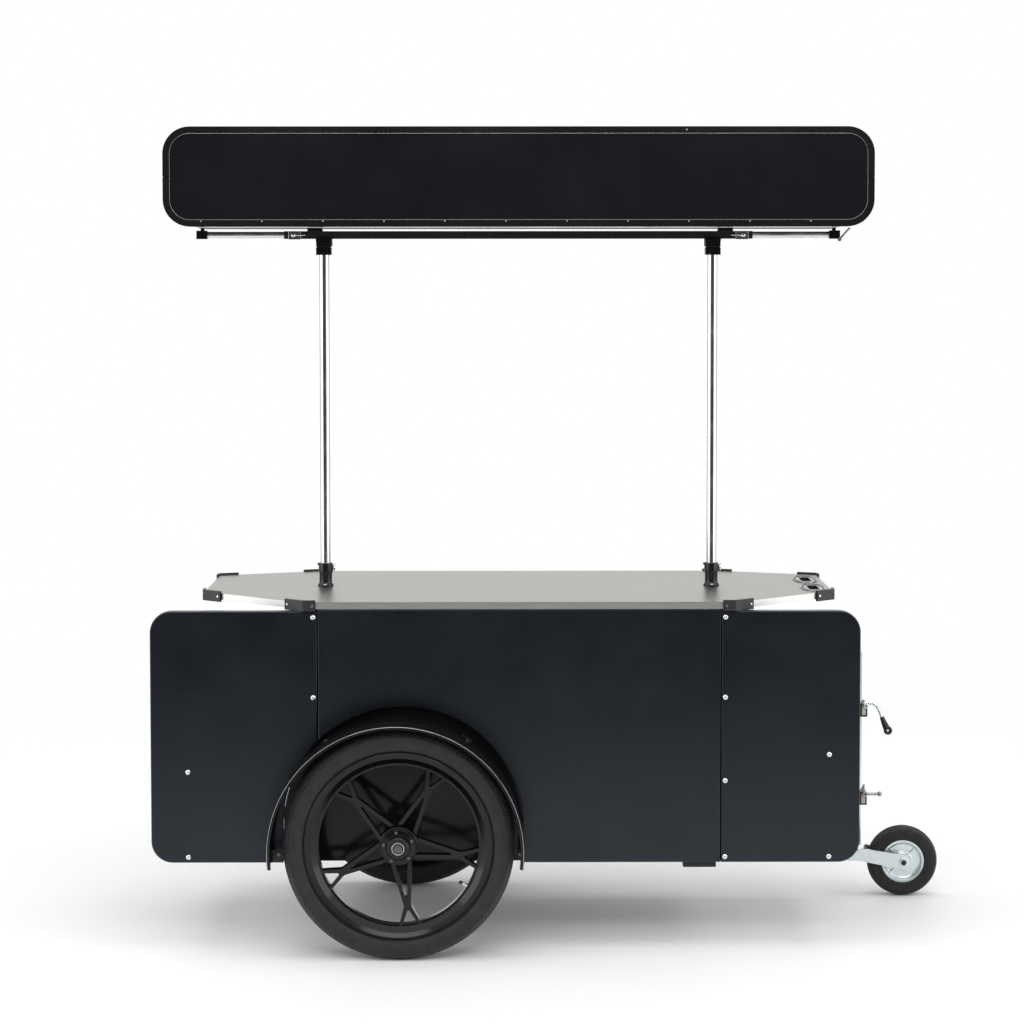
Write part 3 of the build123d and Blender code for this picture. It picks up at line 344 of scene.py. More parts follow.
# ---- materials -----------------------------------------------------------------------------------
class Finish:
    """A procedural material, kept in MATERIALS, with patterns laid out in the part's own space."""

    def __init__(self, name, colour, roughness, metallic=0.0, **sockets):
        self.material = bpy.data.materials.new(name)
        self.material.use_nodes = True
        self.nodes = self.material.node_tree.nodes
        self.shader = self.nodes["Principled BSDF"]
        self.colour = colour
        self.shader.inputs["Base Color"].default_value = (*colour, 1)
        self.shader.inputs["Roughness"].default_value = roughness
        self.shader.inputs["Metallic"].default_value = metallic
        for socket, value in sockets.items():
            self.shader.inputs[socket.replace("_", " ")].default_value = value
        self.place = self.nodes.new("ShaderNodeTexCoord").outputs["Object"]
        self.height = None
        MATERIALS[name] = self.material

    def link(self, output, target):
        self.material.node_tree.links.new(output, target)

    def node(self, kind, inputs=(), **settings):
        """A new node whose inputs are each linked to an output or set to a value."""
        made = self.nodes.new(kind)
        for setting, value in settings.items():
            setattr(made, setting, value)
        for key, value in dict(inputs).items():
            if isinstance(value, bpy.types.NodeSocket):
                self.link(value, made.inputs[key])
            else:
                made.inputs[key].default_value = value
        return made

    def spot(self, grain):
        """Object coordinates counted in grains of one size, or of a size along each axis."""
        sizes = grain if isinstance(grain, tuple) else (grain,) * 3
        return self.node("ShaderNodeVectorMath", {0: self.place, 1: sizes}, operation="DIVIDE").outputs[0]

    def noise(self, grain, detail=2.0, rough=0.5):
        """Soft noise, mostly between 0.3 and 0.7."""
        inputs = {"Vector": self.spot(grain), "Scale": 1.0, "Detail": detail, "Roughness": rough}
        return self.node("ShaderNodeTexNoise", inputs).outputs[0]

    def cells(self, grain):
        """Patches with one random grey each."""
        cell = self.node("ShaderNodeTexVoronoi", {"Vector": self.spot(grain), "Scale": 1.0})
        return self.node("ShaderNodeSeparateColor", {0: cell.outputs["Color"]}).outputs[0]

    def radius_from(self, at):
        """Distance from a line along Y through a point, in metres."""
        away = self.node("ShaderNodeVectorMath", {0: self.place, 1: at}, operation="SUBTRACT").outputs[0]
        flat = self.node("ShaderNodeVectorMath", {0: away, 1: (1, 0, 1)}, operation="MULTIPLY").outputs[0]
        return self.node("ShaderNodeVectorMath", {0: flat}, operation="LENGTH").outputs["Value"]

    def depth_below(self, height, fade):
        """0 above a height in metres and 1 from a fade's length below it."""
        z = self.node("ShaderNodeSeparateXYZ", {0: self.place}).outputs["Z"]
        return self.stretched(z, 1.0, 0.0, height - fade, height)

    def ripples(self, distance, pitch):
        """A wave between -1 and 1 that repeats at every pitch of a distance."""
        turns = self.node("ShaderNodeMath", {0: distance, 1: 2 * math.pi / pitch}, operation="MULTIPLY")
        return self.node("ShaderNodeMath", {0: turns.outputs[0]}, operation="SINE").outputs[0]

    def stretched(self, value, low, high, start=0.3, end=0.7):
        """A pattern's values from start to end, spread from low to high."""
        inputs = {"Value": value, "From Min": start, "From Max": end, "To Min": low, "To Max": high}
        return self.node("ShaderNodeMapRange", inputs).outputs[0]

    def rough(self, value, low, high, start=0.3, end=0.7):
        """Spreads the roughness from low to high by a pattern."""
        self.link(self.stretched(value, low, high, start, end), self.shader.inputs["Roughness"])

    def tinted(self, value, other, start=0.35, end=0.65):
        """Mixes the base colour towards another one where the pattern is high."""
        factor = self.stretched(value, 0.0, 1.0, start, end)
        mix = self.node("ShaderNodeMix", data_type="RGBA")
        now = self.shader.inputs["Base Color"]
        if now.is_linked:
            self.link(now.links[0].from_socket, mix.inputs[6])
        else:
            mix.inputs[6].default_value = (*self.colour, 1)
        mix.inputs[7].default_value = (*other, 1)
        self.link(factor, mix.inputs[0])
        self.link(mix.outputs[2], now)

    def bumped(self, value, depth):
        """Raises the surface by a pattern, on top of any pattern before it."""
        bump = self.node("ShaderNodeBump", {"Height": value, "Distance": depth, "Strength": 1.0})
        if self.height:
            self.link(self.height, bump.inputs["Normal"])
        self.height = bump.outputs[0]
        self.link(self.height, self.shader.inputs["Normal"])


def powder_coat(name, colour, roughness, peel=0.00005, **sockets):
    """Painted steel: fine orange peel, and broad soft changes of gloss."""
    paint = Finish(name, colour, roughness, **sockets)
    paint.rough(paint.noise(0.16, 3), roughness - 0.05, roughness + 0.05)
    paint.tinted(paint.noise(0.4, 2), tuple(c * 1.25 for c in colour))
    paint.bumped(paint.noise(0.0022, 1), peel)


def moulded(name, colour, roughness, depth=0.00006):
    """Plastic or rubber out of a textured mould."""
    skin = Finish(name, colour, roughness)
    skin.rough(skin.noise(0.03, 3), roughness - 0.07, roughness + 0.07)
    skin.tinted(skin.noise(0.012, 4), tuple(c * 1.5 for c in colour))
    skin.bumped(skin.noise(0.0012, 2), depth)


def plated(name, colour, roughness, **sockets):
    """Bright plating with faint polishing haze."""
    metal = Finish(name, colour, roughness, 1.0, **sockets)
    metal.rough(metal.noise(0.05, 4), roughness * 0.7, roughness * 1.5)
    metal.tinted(metal.noise(0.09, 3), tuple(c * 0.94 for c in colour))


def spangled(name, colour, roughness, grain):
    """Zinc in crystals, each with its own tone and gloss."""
    zinc = Finish(name, colour, roughness, 1.0)
    crystals = zinc.cells(grain)
    zinc.tinted(crystals, tuple(c * 0.95 for c in colour), 0.2, 0.9)
    zinc.rough(crystals, roughness - 0.04, roughness + 0.05, 0, 1)
    zinc.bumped(zinc.noise(grain * 0.7, 3), 0.00001)


powder_coat("frame_black", (0.012, 0.012, 0.013), 0.42)
powder_coat("panel_black", (0.0034, 0.0040, 0.0056), 0.30, 0.00003, Specular_Tint=(0.80, 0.90, 1.0, 1))
powder_coat("gloss_black", (0.0065, 0.0058, 0.0065), 0.16, 0.00001, Specular_IOR_Level=0.2)
powder_coat("inner_sheet", (0.055, 0.057, 0.060), 0.45)
powder_coat("wheel_black", (0.0030, 0.0030, 0.0038), 0.14, 0.00001, Specular_IOR_Level=0.32)
powder_coat("dark_steel", (0.10, 0.10, 0.105), 0.24, 0.00001, Metallic=1.0)
powder_coat("cast_black", (0.0050, 0.0055, 0.0065), 0.20, 0.00003)
powder_coat("sign_black", (0.0065, 0.0060, 0.0070), 0.3, 0.00002, Specular_IOR_Level=0.3)
powder_coat("sign_face", (0.0068, 0.0058, 0.0076), 0.3, 0.00001, Specular_IOR_Level=0.15)
powder_coat("trim_dark", (0.0060, 0.0060, 0.0062), 0.28, 0.00001, Specular_IOR_Level=0.3)

moulded("black_plastic", (0.013, 0.013, 0.014), 0.45)
moulded("black_rubber", (0.016, 0.016, 0.017), 0.7, depth=0.00012)
moulded("pad_cream", (0.42, 0.38, 0.31), 0.55)

EDGE_DIM = (0.80, 0.81, 0.78, 1)  # what a grazing reflection keeps
plated("chrome", (0.86, 0.87, 0.88), 0.15)
plated("satin_chrome", (0.84, 0.86, 0.86), 0.36)
plated("zinc_screw", (0.80, 0.80, 0.78), 0.22)
plated("bearing_steel", (0.62, 0.62, 0.63), 0.2)
plated("dull_steel", (0.38, 0.39, 0.39), 0.28, Specular_Tint=EDGE_DIM)
spangled("zinc", (0.76, 0.83, 0.84), 0.33, 0.005)

RIM_SHEEN_FADE = 0.0008  # painted highlight: the worktop's rim is painted paler from this far below its top, for the light it catches
stainless = Finish("brushed_stainless", (0.350, 0.357, 0.340), 0.35, 1.0, Specular_Tint=EDGE_DIM)
brush_lines = stainless.noise((0.09, 0.0007, 0.0007), 4, 0.65)
stainless.rough(brush_lines, 0.30, 0.40)
stainless.tinted(brush_lines, (0.32, 0.326, 0.311))
stainless.tinted(stainless.noise(0.35, 3), (0.345, 0.352, 0.335))
# painted highlight: below the top the stainless is painted paler, a lit copy of the same steel on the
# worktop's rim
stainless.tinted(stainless.depth_below(COUNTER_TOP - RIM_SHEEN_FADE, RIM_SHEEN_FADE), (0.67, 0.67, 0.65), 0, 1)
stainless.bumped(brush_lines, 0.000025)

aluminium = Finish("aluminium", (0.74, 0.75, 0.75), 0.3, 1.0)
drawn_lines = aluminium.noise((0.12, 0.0009, 0.0009), 3)
aluminium.rough(drawn_lines, 0.25, 0.38)
aluminium.tinted(aluminium.noise(0.05, 3), (0.66, 0.67, 0.67))
aluminium.bumped(drawn_lines, 0.00001)

board = Finish("board", (0.42, 0.30, 0.18), 0.7)
board.tinted(board.noise((0.35, 0.012, 0.012), 5, 0.6), (0.27, 0.18, 0.10))
board.tinted(board.ripples(board.radius_from((0, 0, 0)), 0.003), (0.36, 0.25, 0.15), -1, 1)
board.rough(board.noise((0.2, 0.004, 0.004)), 0.6, 0.8)
board.bumped(board.noise((0.1, 0.001, 0.001), 3), 0.00008)


def tyre_rubber(name, at, colour, ring_pitch, tread_radius):
    """Dusty rubber with fine moulding rings round its axle and a paler tread."""
    rubber = Finish(name, colour, 0.72, Specular_IOR_Level=0.3)
    rubber.rough(rubber.noise(0.02, 4), 0.62, 0.82)
    rubber.tinted(rubber.noise(0.03, 5, 0.65), tuple(c * 1.35 for c in colour))
    radius = rubber.radius_from(at)
    rubber.tinted(radius, tuple(c * 2.2 for c in colour), tread_radius - 0.001, tread_radius + 0.001)
    rings = rubber.ripples(radius, ring_pitch)
    rubber.bumped(rings, 0.00012)
    rubber.bumped(rubber.noise(0.0015, 3), 0.00008)


# ---- road wheels ---------------------------------------------------------------------------------
WHEEL_X = -0.427
WHEEL_Z = 0.300
TRACK_HALF = 0.401
RIM_OUTLINE = [  # sideways, radius, both in millimetres
    (-30, 243.5), (-24, 243.5), (-22, 229), (-13, 229), (-9, 219), (9, 219), (13, 229), (22, 229),
    (24, 243.5), (30, 243.5), (31.5, 241), (31, 238.5), (25.5, 227.5), (21, 222.5), (13, 213.5),
    (10.5, 207), (-10.5, 207), (-13, 213.5), (-21, 222.5), (-25.5, 227.5), (-31, 238.5),
    (-31.5, 241),
]
HUB_OUTLINE = [  # sideways, radius, both in millimetres
    (-52, 23.5), (-52, 36), (-30, 42), (-20, 50), (30, 50), (32, 47.5), (38, 47.5), (41, 45),
    (42, 33), (45, 31), (56, 30), (59, 29), (62, 26), (62, 17), (42, 17), (42, 23.5),
]
SPOKES = 5
SPOKE_START = math.radians(62)
SPOKE_HALF = [  # outwards from the axle, sideways, both in millimetres
    (151, 0), (34, 19), (39, 28.5), (161, 9), (214, 31), (213.5, 21.5), (168, 0),
]
SPOKE_ROUNDING = [2.5, 0, 1, 14, 2, 2, 3.5]
HUB_BOLT_CIRCLE = 0.0385
HUB_BOLT_SEAT = 0.0408  # seats are measured from the wheel's middle plane
NUT_SEAT = 0.0423
WASHER_THICK = 0.0026
AXLE_WASHER = [(0, 0.0105), (0, 0.0162), (0.0018, 0.0166), (WASHER_THICK, 0.0160), (WASHER_THICK, 0.0105)]
NUT_RING = [
    (0.010, 0.0133), (0.010, 0.0165), (0.0192, 0.0165), (0.0196, 0.0160), (0.0196, 0.0142),
    (0.0185, 0.0133),
]
VALVE_DEG = -32.2
VALVE_FOOT = 0.209  # from the axle
VALVE_STEM = [
    (0, 0.0062), (0.004, 0.006), (0.0045, 0.0042), (0.013, 0.0041), (0.0135, 0.0036), (0.0155, 0.0036),
]
TYRE_HALF = [  # sideways and radius in millimetres, share of the groove depth
    (0, 300, 0), (6.2, 299.8, 0), (6.8, 296.6, 0), (9.2, 296.4, 0), (9.8, 299.3, 0),
    (12.5, 298.8, 0), (13.5, 298.4, 1), (16, 297.6, 1), (20, 295.8, 1), (24, 293, 1),
    (28, 289.8, 1), (30.5, 286.4, 1), (31.6, 284.6, 0), (32.9, 283.8, 0), (33.2, 282.6, 0),
    (33.4, 279, 0), (34.4, 273, 0), (34.9, 266, 0), (34.2, 259.5, 0), (32.6, 254.5, 0),
    (31.8, 253.6, 0), (31.2, 252.6, 0), (30.6, 250.4, 0), (28.6, 248, 0), (24.6, 245.8, 0),
    (23.4, 243, 0), (21.9, 229.4, 0), (17, 232, 0), (20, 250, 0), (26, 268, 0), (22, 284, 0),
    (10, 291, 0), (0, 292, 0),
]
TREAD_BARS = 200
GROOVE_DEPTH = 2.2  # millimetres
GROOVE_SKEW = 0.0011  # radians round the tyre for each millimetre sideways


def tread_tyre(half, bars, depth, skew, at, direction, steps=5):
    """A tyre with slanted grooves in its shoulders, from half a section that starts at the crown."""
    outer = [(-a, r, cut) for a, r, cut in half[:0:-1]] + half
    sections = []
    for k in range(bars * steps):
        low = depth if k % steps < 2 else 0.0
        section = []
        for a, r, cut in outer:
            angle = 2 * math.pi * k / (bars * steps) + skew * abs(a)
            radius = (r - low * cut) / 1000
            section.append((radius * math.cos(angle), radius * math.sin(angle), a / 1000))
        sections.append(section)
    return stand(loft(sections, loop=True), at, direction)


def spoke(angle, at, side):
    """Two bars that lean together from the hub and fork again at the rim."""
    half = SPOKE_HALF
    outline = half + [(x, -y) for x, y in half[::-1] if y]
    rounding = SPOKE_ROUNDING + [r for r, (x, y) in zip(SPOKE_ROUNDING[::-1], half[::-1]) if y]
    section = rounded([mm(*p) for p in outline], mm(*rounding), 5)
    bars = plate(section, *sorted(mm(-12 * side, 13 * side)), width=0.0042, steps=4)
    return placed(bars, Matrix.Translation(at) @ Matrix.Rotation(-angle, 4, "Y"))


def polar(at, radius, angle, y):
    """A point at a radius and an angle round an axle, at its own place along Y."""
    return Vector((at[0] + radius * math.cos(angle), y, at[2] + radius * math.sin(angle)))


def knurl(angle):
    """Radius of the valve cap's ribbed side."""
    return 0.0043 + 0.0003 * math.cos(12 * angle)


VALVE_CAP = [(0.0150, 0.0040), (0.0155, knurl), (0.0225, knurl), (0.0240, 0.0036), (0.0243, 0.002)]


def road_wheel(name, side):
    at = Vector((WHEEL_X, side * TRACK_HALF, WHEEL_Z))
    out = Vector((0, side, 0))
    body = name + "_wheel"
    rim = lathe([mm(*p) for p in rounded(RIM_OUTLINE, 1.6, 3)], at, out, 192)
    hub = lathe([mm(*p) for p in rounded(HUB_OUTLINE, 1.5, 3)], at, out, 96)
    spokes = [spoke(SPOKE_START + 2 * math.pi * i / SPOKES, at, side) for i in range(SPOKES)]
    piece(body + "_casting", joined(rim, hub, *spokes), body, "wheel_black", ["wheel_" + name])

    tyre_rubber("tyre_" + name, at, (0.018, 0.018, 0.0195), ring_pitch=0.0052, tread_radius=0.286)
    tread = tread_tyre(TYRE_HALF, TREAD_BARS, GROOVE_DEPTH, GROOVE_SKEW, at, out)
    piece(body + "_tyre", tread, body, "tyre_rubber", ["tyre_" + name], "tyre_" + name)

    bolts = []
    for i in range(SPOKES):
        angle = SPOKE_START + 2 * math.pi * (i + 0.5) / SPOKES
        seat = polar(at, HUB_BOLT_CIRCLE, angle, at.y + side * HUB_BOLT_SEAT)
        bolts.append(stand(hex_nut(0.0046, 0.0032, 0.002), seat, out))
    piece(body + "_hub_bolts", joined(*bolts), body, "wheel_black", finish="dark_steel")

    valve_angle = math.radians(VALVE_DEG)
    inward = -Vector((math.cos(valve_angle), 0, math.sin(valve_angle)))
    foot = polar(at, VALVE_FOOT, valve_angle, at.y)
    piece(body + "_valve", stand(spindle(VALVE_STEM), foot, inward), body, "zinc_screw")
    piece(body + "_valve_cap", stand(spindle(VALVE_CAP, 48), foot, inward), body, "black_plastic")


road_wheel("near", NEAR)
road_wheel("far", FAR)

axle_nuts = []
bright_rings = []
for side in (NEAR, FAR):
    out = Vector((0, side, 0))
    face = Vector((WHEEL_X, side * (TRACK_HALF + NUT_SEAT), WHEEL_Z))
    axle_nuts.append(lathe(AXLE_WASHER, face, out, 64))
    axle_nuts.append(stand(hex_nut(0.0125, 0.0160, 0.0085), face + out * WASHER_THICK, out))
    bright_rings.append(lathe(NUT_RING, face, out, 64))
piece("axle_nuts_detail", joined(*axle_nuts), "cart", "zinc_screw", ["axle_nuts"], "dark_steel")
piece("axle_nut_rings", joined(*bright_rings), "cart", "zinc_screw", finish="dull_steel")


# ---- fenders -------------------------------------------------------------------------------------
FENDER_CENTRE = (-0.434, 0, 0.285)
FENDER_HALF_DEG = 97  # each way from the top
HIGHLIGHT_BEAD_CENTRE = (459.2, 329.9)  # distance from the middle plane, radius, both in millimetres
HIGHLIGHT_BEAD_RADIUS = 1.1
FENDER_SECTION = [  # distance from the middle plane, radius, both in millimetres
    (316, 322), (316, 329), (317, 330), (372, 330.4), (376, 332), (400, 332), (404, 330.4),
    (449, 330), (452.5, 330.6), (454.8, 331.7), (457.2, 331.9), (459.6, 330.5), (460.9, 328),
    (460.9, 325.8), (459.4, 323.4), (457, 322.1), (454.6, 322.2), (452.4, 323.6), (451.2, 326),
    (450.4, 327), (404, 327.2), (400, 329), (376, 329), (372, 327.2), (319.4, 327), (318.4, 322),
]


def fender_arc(section, side, half_deg, steps):
    """A section drawn in millimetres, carried over the top of a wheel."""
    sections = []
    for k in range(steps + 1):
        angle = math.radians(90 - half_deg + 2 * half_deg * k / steps)
        sections.append([polar(FENDER_CENTRE, r / 1000, angle, side * a / 1000) for a, r in section])
    return loft(sections)


def fender(name, side):
    sheet = bevelled(fender_arc(FENDER_SECTION, side, FENDER_HALF_DEG, 120), 0.0006, sharp_deg=60)
    piece("fender_sheet_" + name, sheet, "cart", "gloss_black", ["fender_" + name])
    # painted highlight: a thin grey metal bead in the rolled edge stands in for the highlight along the
    # fender's edge
    bead = [(HIGHLIGHT_BEAD_CENTRE[0] + a, HIGHLIGHT_BEAD_CENTRE[1] + r) for a, r in circle_outline(HIGHLIGHT_BEAD_RADIUS, 10)]
    edge = fender_arc(bead, side, FENDER_HALF_DEG - 0.3, 160)
    piece("fender_highlight_bead_" + name, edge, "cart", "aluminium", finish="dull_steel")


fender("near", NEAR)
fender("far", FAR)


# ---- screws --------------------------------------------------------------------------------------
SHANK_RADIUS = 0.0028


def screws(node, dome, socket, finish=None):
    """Domed screws along Y in place of a node's plain ones; the socket is a share of the radius."""
    low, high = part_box(node)
    middle_y = (low.y + high.y) / 2
    made = []
    for centre, half in islands(node):
        side = NEAR if centre.y < middle_y else FAR
        seat = Vector((centre.x, centre.y + side * (half.y - dome), centre.z))
        radius = max(half.x, half.z)
        head = screw(radius, dome, radius * socket, SHANK_RADIUS, 2 * half.y - dome)
        made.append(stand(head, seat, (0, side, 0)))
    piece(node + "_detail", joined(*made), NODES[node]["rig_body"], SLOT_OF[node], [node], finish)


screws("panel_screws", dome=0.0040, socket=0.26)
screws("sign_screws", dome=0.0015, socket=0.3, finish="dull_steel")


# ---- posts and sockets ---------------------------------------------------------------------------
POST_Y = 0.049
POST_X = (-0.645, 0.417)
POST_OUTLINE = [(770, 12.75), (770, 13.6), (770.8, 14.25), (1859.5, 14.25), (1860, 13.6), (1860, 12.75)]
SOCKET_OUTLINE = [  # height over the worktop, radius, both in millimetres
    (0, 14.3), (0, 21.4), (4.6, 21.4), (6.2, 20.9), (7.4, 19.6), (9, 18.2), (13, 17.5), (24, 17.2),
    (35, 17.5), (38.2, 18.2), (39.2, 19.3), (40.2, 19.5), (62.8, 19.5), (64.4, 18.9), (65, 17.8),
    (65, 14.3),
]
EAR_HALF = (11, 33)  # millimetres
EAR_CORNER = 0.0108
EAR_THICK = 0.006
EAR_SCREW_Y = 0.0245
LUG_HEIGHT = 0.061  # over the worktop
LUG = [(0.0145, 0.0034), (0.0215, 0.0034), (0.0224, 0.0026)]
CLAMP_HEIGHT = 0.052  # over the worktop
CLAMP_BOSS = [(0.0160, 0.0070), (0.0205, 0.0070), (0.0214, 0.0060), (0.0215, 0.0042)]

posts = [lathe([mm(*p) for p in POST_OUTLINE], (x, POST_Y, 0), UP, 96) for x in POST_X]
piece("roof_posts_polished", joined(*posts), "roof", "chrome", ["roof_posts"])

sockets = []
socket_screws = []
for x in POST_X:
    base = Vector((x, POST_Y, COUNTER_TOP))
    sockets.append(lathe([mm(*p) for p in SOCKET_OUTLINE], base, UP, 80))
    ear = [(x + px, POST_Y + py) for px, py in rounded(rectangle(*EAR_HALF), EAR_CORNER, 8)]
    sockets.append(bevelled(loft([[(*p, COUNTER_TOP + z) for p in ear] for z in (0, EAR_THICK)]), 0.0015))
    sockets.append(stand(spindle(LUG, 24), base + UP * LUG_HEIGHT, -RIGHT))
    sockets.append(stand(spindle(CLAMP_BOSS, 32), base + UP * CLAMP_HEIGHT, RIGHT))
    for way in (-1, 1):
        seat = base + Vector((0, way * EAR_SCREW_Y, EAR_THICK))
        socket_screws.append(stand(screw(0.0045, 0.0026, 0.0018), seat, UP))
piece("post_sockets_cast", joined(*sockets), "cart", "cast_black", ["post_sockets"])
piece("post_socket_screws", joined(*socket_screws), "cart", "zinc_screw")


def knob_edge(angle):
    """Radius of a clamp knob's ribbed edge."""
    return 0.0063 + 0.00025 * math.cos(16 * angle)


KNOB = [
    (0.0149, 0.0038), (0.0219, 0.0038), (0.0220, 0.0058), (0.0226, knob_edge), (0.0264, knob_edge),
    (0.0270, 0.0056), (0.0270, 0.0030), (0.0262, 0.0022),
]
KNOB_WING_X = 0.0245
KNOB_WING_HALF = 0.0099
KNOB_WING_STEPS = mm(-9.9, -9.2, -7.5, -4, 0, 4, 7.5, 9.2, 9.9)


def wing_radius(travelled):
    """A knob's wing swells towards its rounded ends."""
    from_middle = abs(travelled - KNOB_WING_HALF) / KNOB_WING_HALF
    return 0.0012 if from_middle > 0.98 else 0.0019 + 0.0005 * from_middle ** 2


for side_name, x in zip(("left", "right"), POST_X):
    centre = Vector((x, POST_Y, COUNTER_TOP + CLAMP_HEIGHT))
    wing = tube_along([centre + RIGHT * KNOB_WING_X + UP * z for z in KNOB_WING_STEPS], wing_radius)
    knob = joined(stand(spindle(KNOB, 96), centre, RIGHT), wing)
    node = "clamp_screw_" + side_name
    piece(node + "_knob", knob, side_name + "_clamp_screw", SLOT_OF[node], [node])


# ---- header --------------------------------------------------------------------------------------
MIDDLE_X = -0.114
RAIL_Z = 1.8805
SEAT_STEPS = [  # height, half in X, half in Y, all in millimetres
    (1826, 20.4, 20.4), (1826.8, 21.3, 21.3), (1845, 21.3, 21.3), (1846, 20.8, 20.8),
    (1846.2, 19.6, 19.6), (1848.4, 19.6, 19.6), (1848.6, 20.6, 20.6), (1849.6, 21.0, 21.0),
    (1860, 21.0, 21.2), (1866, 21.8, 21.8), (1869.4, 22, 22), (1870, 21.6, 21.6),
]
PAD_STEPS = [(1891, 20.4, 19.4), (1891.6, 21, 20), (1899.4, 21, 20), (1900, 20.6, 19.6)]
PAD_X = (MIDDLE_X - 0.555, MIDDLE_X + 0.565)
BLOCK_CORNER = 0.002
WEDGE_REACH = (0.0205, 0.0238)  # from a post's line towards the middle
WEDGE_HALF_Y = 0.011
WEDGE_Z = (1.8500, 1.8698)
ARM_START = 0.560  # from the header's middle
ARM_TUBE = [(0, 7.5), (0, 9), (302.2, 9), (303, 8.4), (303, 7.5)]
ARM_BOLT_X = 0.614  # from the header's middle
ARM_BOLT_Y = POST_Y - 0.0195
PIN_STEPS = mm(0, 6, 30, 33)
PIN_BEHIND = 0.0050  # from the bolt's seat
SIGN_HALF_X = 0.945
SIGN_HALF_Y = 0.1995
SIGN_BOTTOM = 1.900
SIGN_TOP = 2.165
SIGN_CORNER = 0.072
LINE_INSET = 0.0184


def stack(x, steps):
    """Rounded rectangles of (height, half in X, half in Y) laid over each other."""
    sections = []
    for z, half_x, half_y in steps:
        outline = rounded(rectangle(half_x, half_y), BLOCK_CORNER)
        sections.append([(x + px, POST_Y + py, z / 1000) for px, py in outline])
    return loft(sections)


blocks = []
wedges = []
for x, pad_x in zip(POST_X, PAD_X):
    blocks.append(stack(x, SEAT_STEPS))
    blocks.append(stack(pad_x, PAD_STEPS))
    inward = 1 if x < MIDDLE_X else -1
    x_low, x_high = sorted(x + inward * reach for reach in WEDGE_REACH)
    wedge_low = (x_low, POST_Y - WEDGE_HALF_Y, WEDGE_Z[0])
    wedge_high = (x_high, POST_Y + WEDGE_HALF_Y, WEDGE_Z[1])
    wedges.append(block(wedge_low, wedge_high, 0.0006))
piece("roof_blocks_grooved", joined(*blocks), "roof", SLOT_OF["roof_blocks"], ["roof_blocks"])
piece("roof_block_wedges", joined(*wedges), "roof", "chrome")


def pin_radius(travelled):
    """The pin behind an arm's bolt has a thinner tip."""
    return 0.0022 if travelled < 0.0310 else 0.0014


arms = []
arm_bolts = []
for way in (-1, 1):
    start = Vector((MIDDLE_X + way * ARM_START, POST_Y, RAIL_Z))
    arms.append(lathe([mm(*p) for p in ARM_TUBE], start, (way, 0, 0), 64))
    front = Vector((MIDDLE_X + way * ARM_BOLT_X, ARM_BOLT_Y, RAIL_Z))
    arm_bolts.append(stand(screw(0.0056, 0.0030, 0.0022, 0.0040, 0.006), front, (0, -1, 0)))
    pin = [front + Vector((-way * d, PIN_BEHIND, 0)) for d in PIN_STEPS]
    arm_bolts.append(tube_along(pin, pin_radius))
piece("arm_tubes_polished", joined(*arms), "roof", "chrome", ["arm_tubes"], "satin_chrome")
piece("arm_bolts", joined(*arm_bolts), "roof", "zinc_screw")


def sign_highlight_bead(y):
    """A fine bright metal bead round the sign's face, a painted highlight along the inner edge of its
    trim.
    """
    low = (MIDDLE_X - SIGN_HALF_X + LINE_INSET, SIGN_BOTTOM + LINE_INSET)
    high = (MIDDLE_X + SIGN_HALF_X - LINE_INSET, SIGN_TOP - LINE_INSET)
    corners = [low, (high[0], low[1]), high, (low[0], high[1])]
    path = [(x, y, z) for x, z in rounded(corners, SIGN_CORNER - LINE_INSET, 16)]
    return tube_along(path, 0.0005, 8, closed=True)


# painted highlight: bright metal beads round both faces stand in for the highlight along the trims' inner
# edges
sign_highlight_beads = [sign_highlight_bead(y) for y in (POST_Y - SIGN_HALF_Y, POST_Y + SIGN_HALF_Y)]
piece("sign_highlight_beads", joined(*sign_highlight_beads), "roof", "aluminium", finish="dull_steel")


# ---- hand recesses -------------------------------------------------------------------------------
GRIP_X = 0.691
GRIP_Y = (-0.003, 0.178)
BEZEL_HALF = (0.035, 0.080)
SLOT_HALF = (0.014, 0.0485)
SLOT_POWER = 7  # the higher, the squarer the slot's ends
BEZEL_COUNT = 144
BEZEL_STEPS = [  # share of the way from the rim to the slot, height in millimetres
    (0, 0), (0, 2), (0.03, 2.8), (0.07, 3), (0.12, 2.8), (0.16, 2.0), (0.20, 1.3), (0.55, 0.9),
    (0.85, 1.2), (0.93, 1.9), (0.98, 1.7), (1, 1), (1, 0),
]
BEZEL_BAND = [(0.22, 0.9), (0.24, 1.9), (0.30, 2.1), (0.46, 1.9), (0.50, 0.8)]


def dish(y, steps):
    """Rings between an oval rim and a slot with rounded ends."""
    sections = []
    for k in range(BEZEL_COUNT):
        angle = 2 * math.pi * k / BEZEL_COUNT
        rim = Vector((BEZEL_HALF[0] * math.cos(angle), BEZEL_HALF[1] * math.sin(angle)))
        powers = [abs(r / half) ** SLOT_POWER for r, half in zip(rim, SLOT_HALF)]
        slot = rim * sum(powers) ** (-1 / SLOT_POWER)
        ring = [rim.lerp(slot, share) for share, _ in steps]
        heights = [COUNTER_TOP + z / 1000 for _, z in steps]
        sections.append([(GRIP_X + p.x, y + p.y, z) for p, z in zip(ring, heights)])
    return loft(sections, loop=True)


bezels = joined(*[dish(y, BEZEL_STEPS) for y in GRIP_Y])
piece("grip_bezels_dished", bezels, "cart", "chrome", ["grip_bezels"], "dull_steel")
bands = joined(*[dish(y, BEZEL_BAND) for y in GRIP_Y])
piece("grip_bands", bands, "cart", "black_plastic")


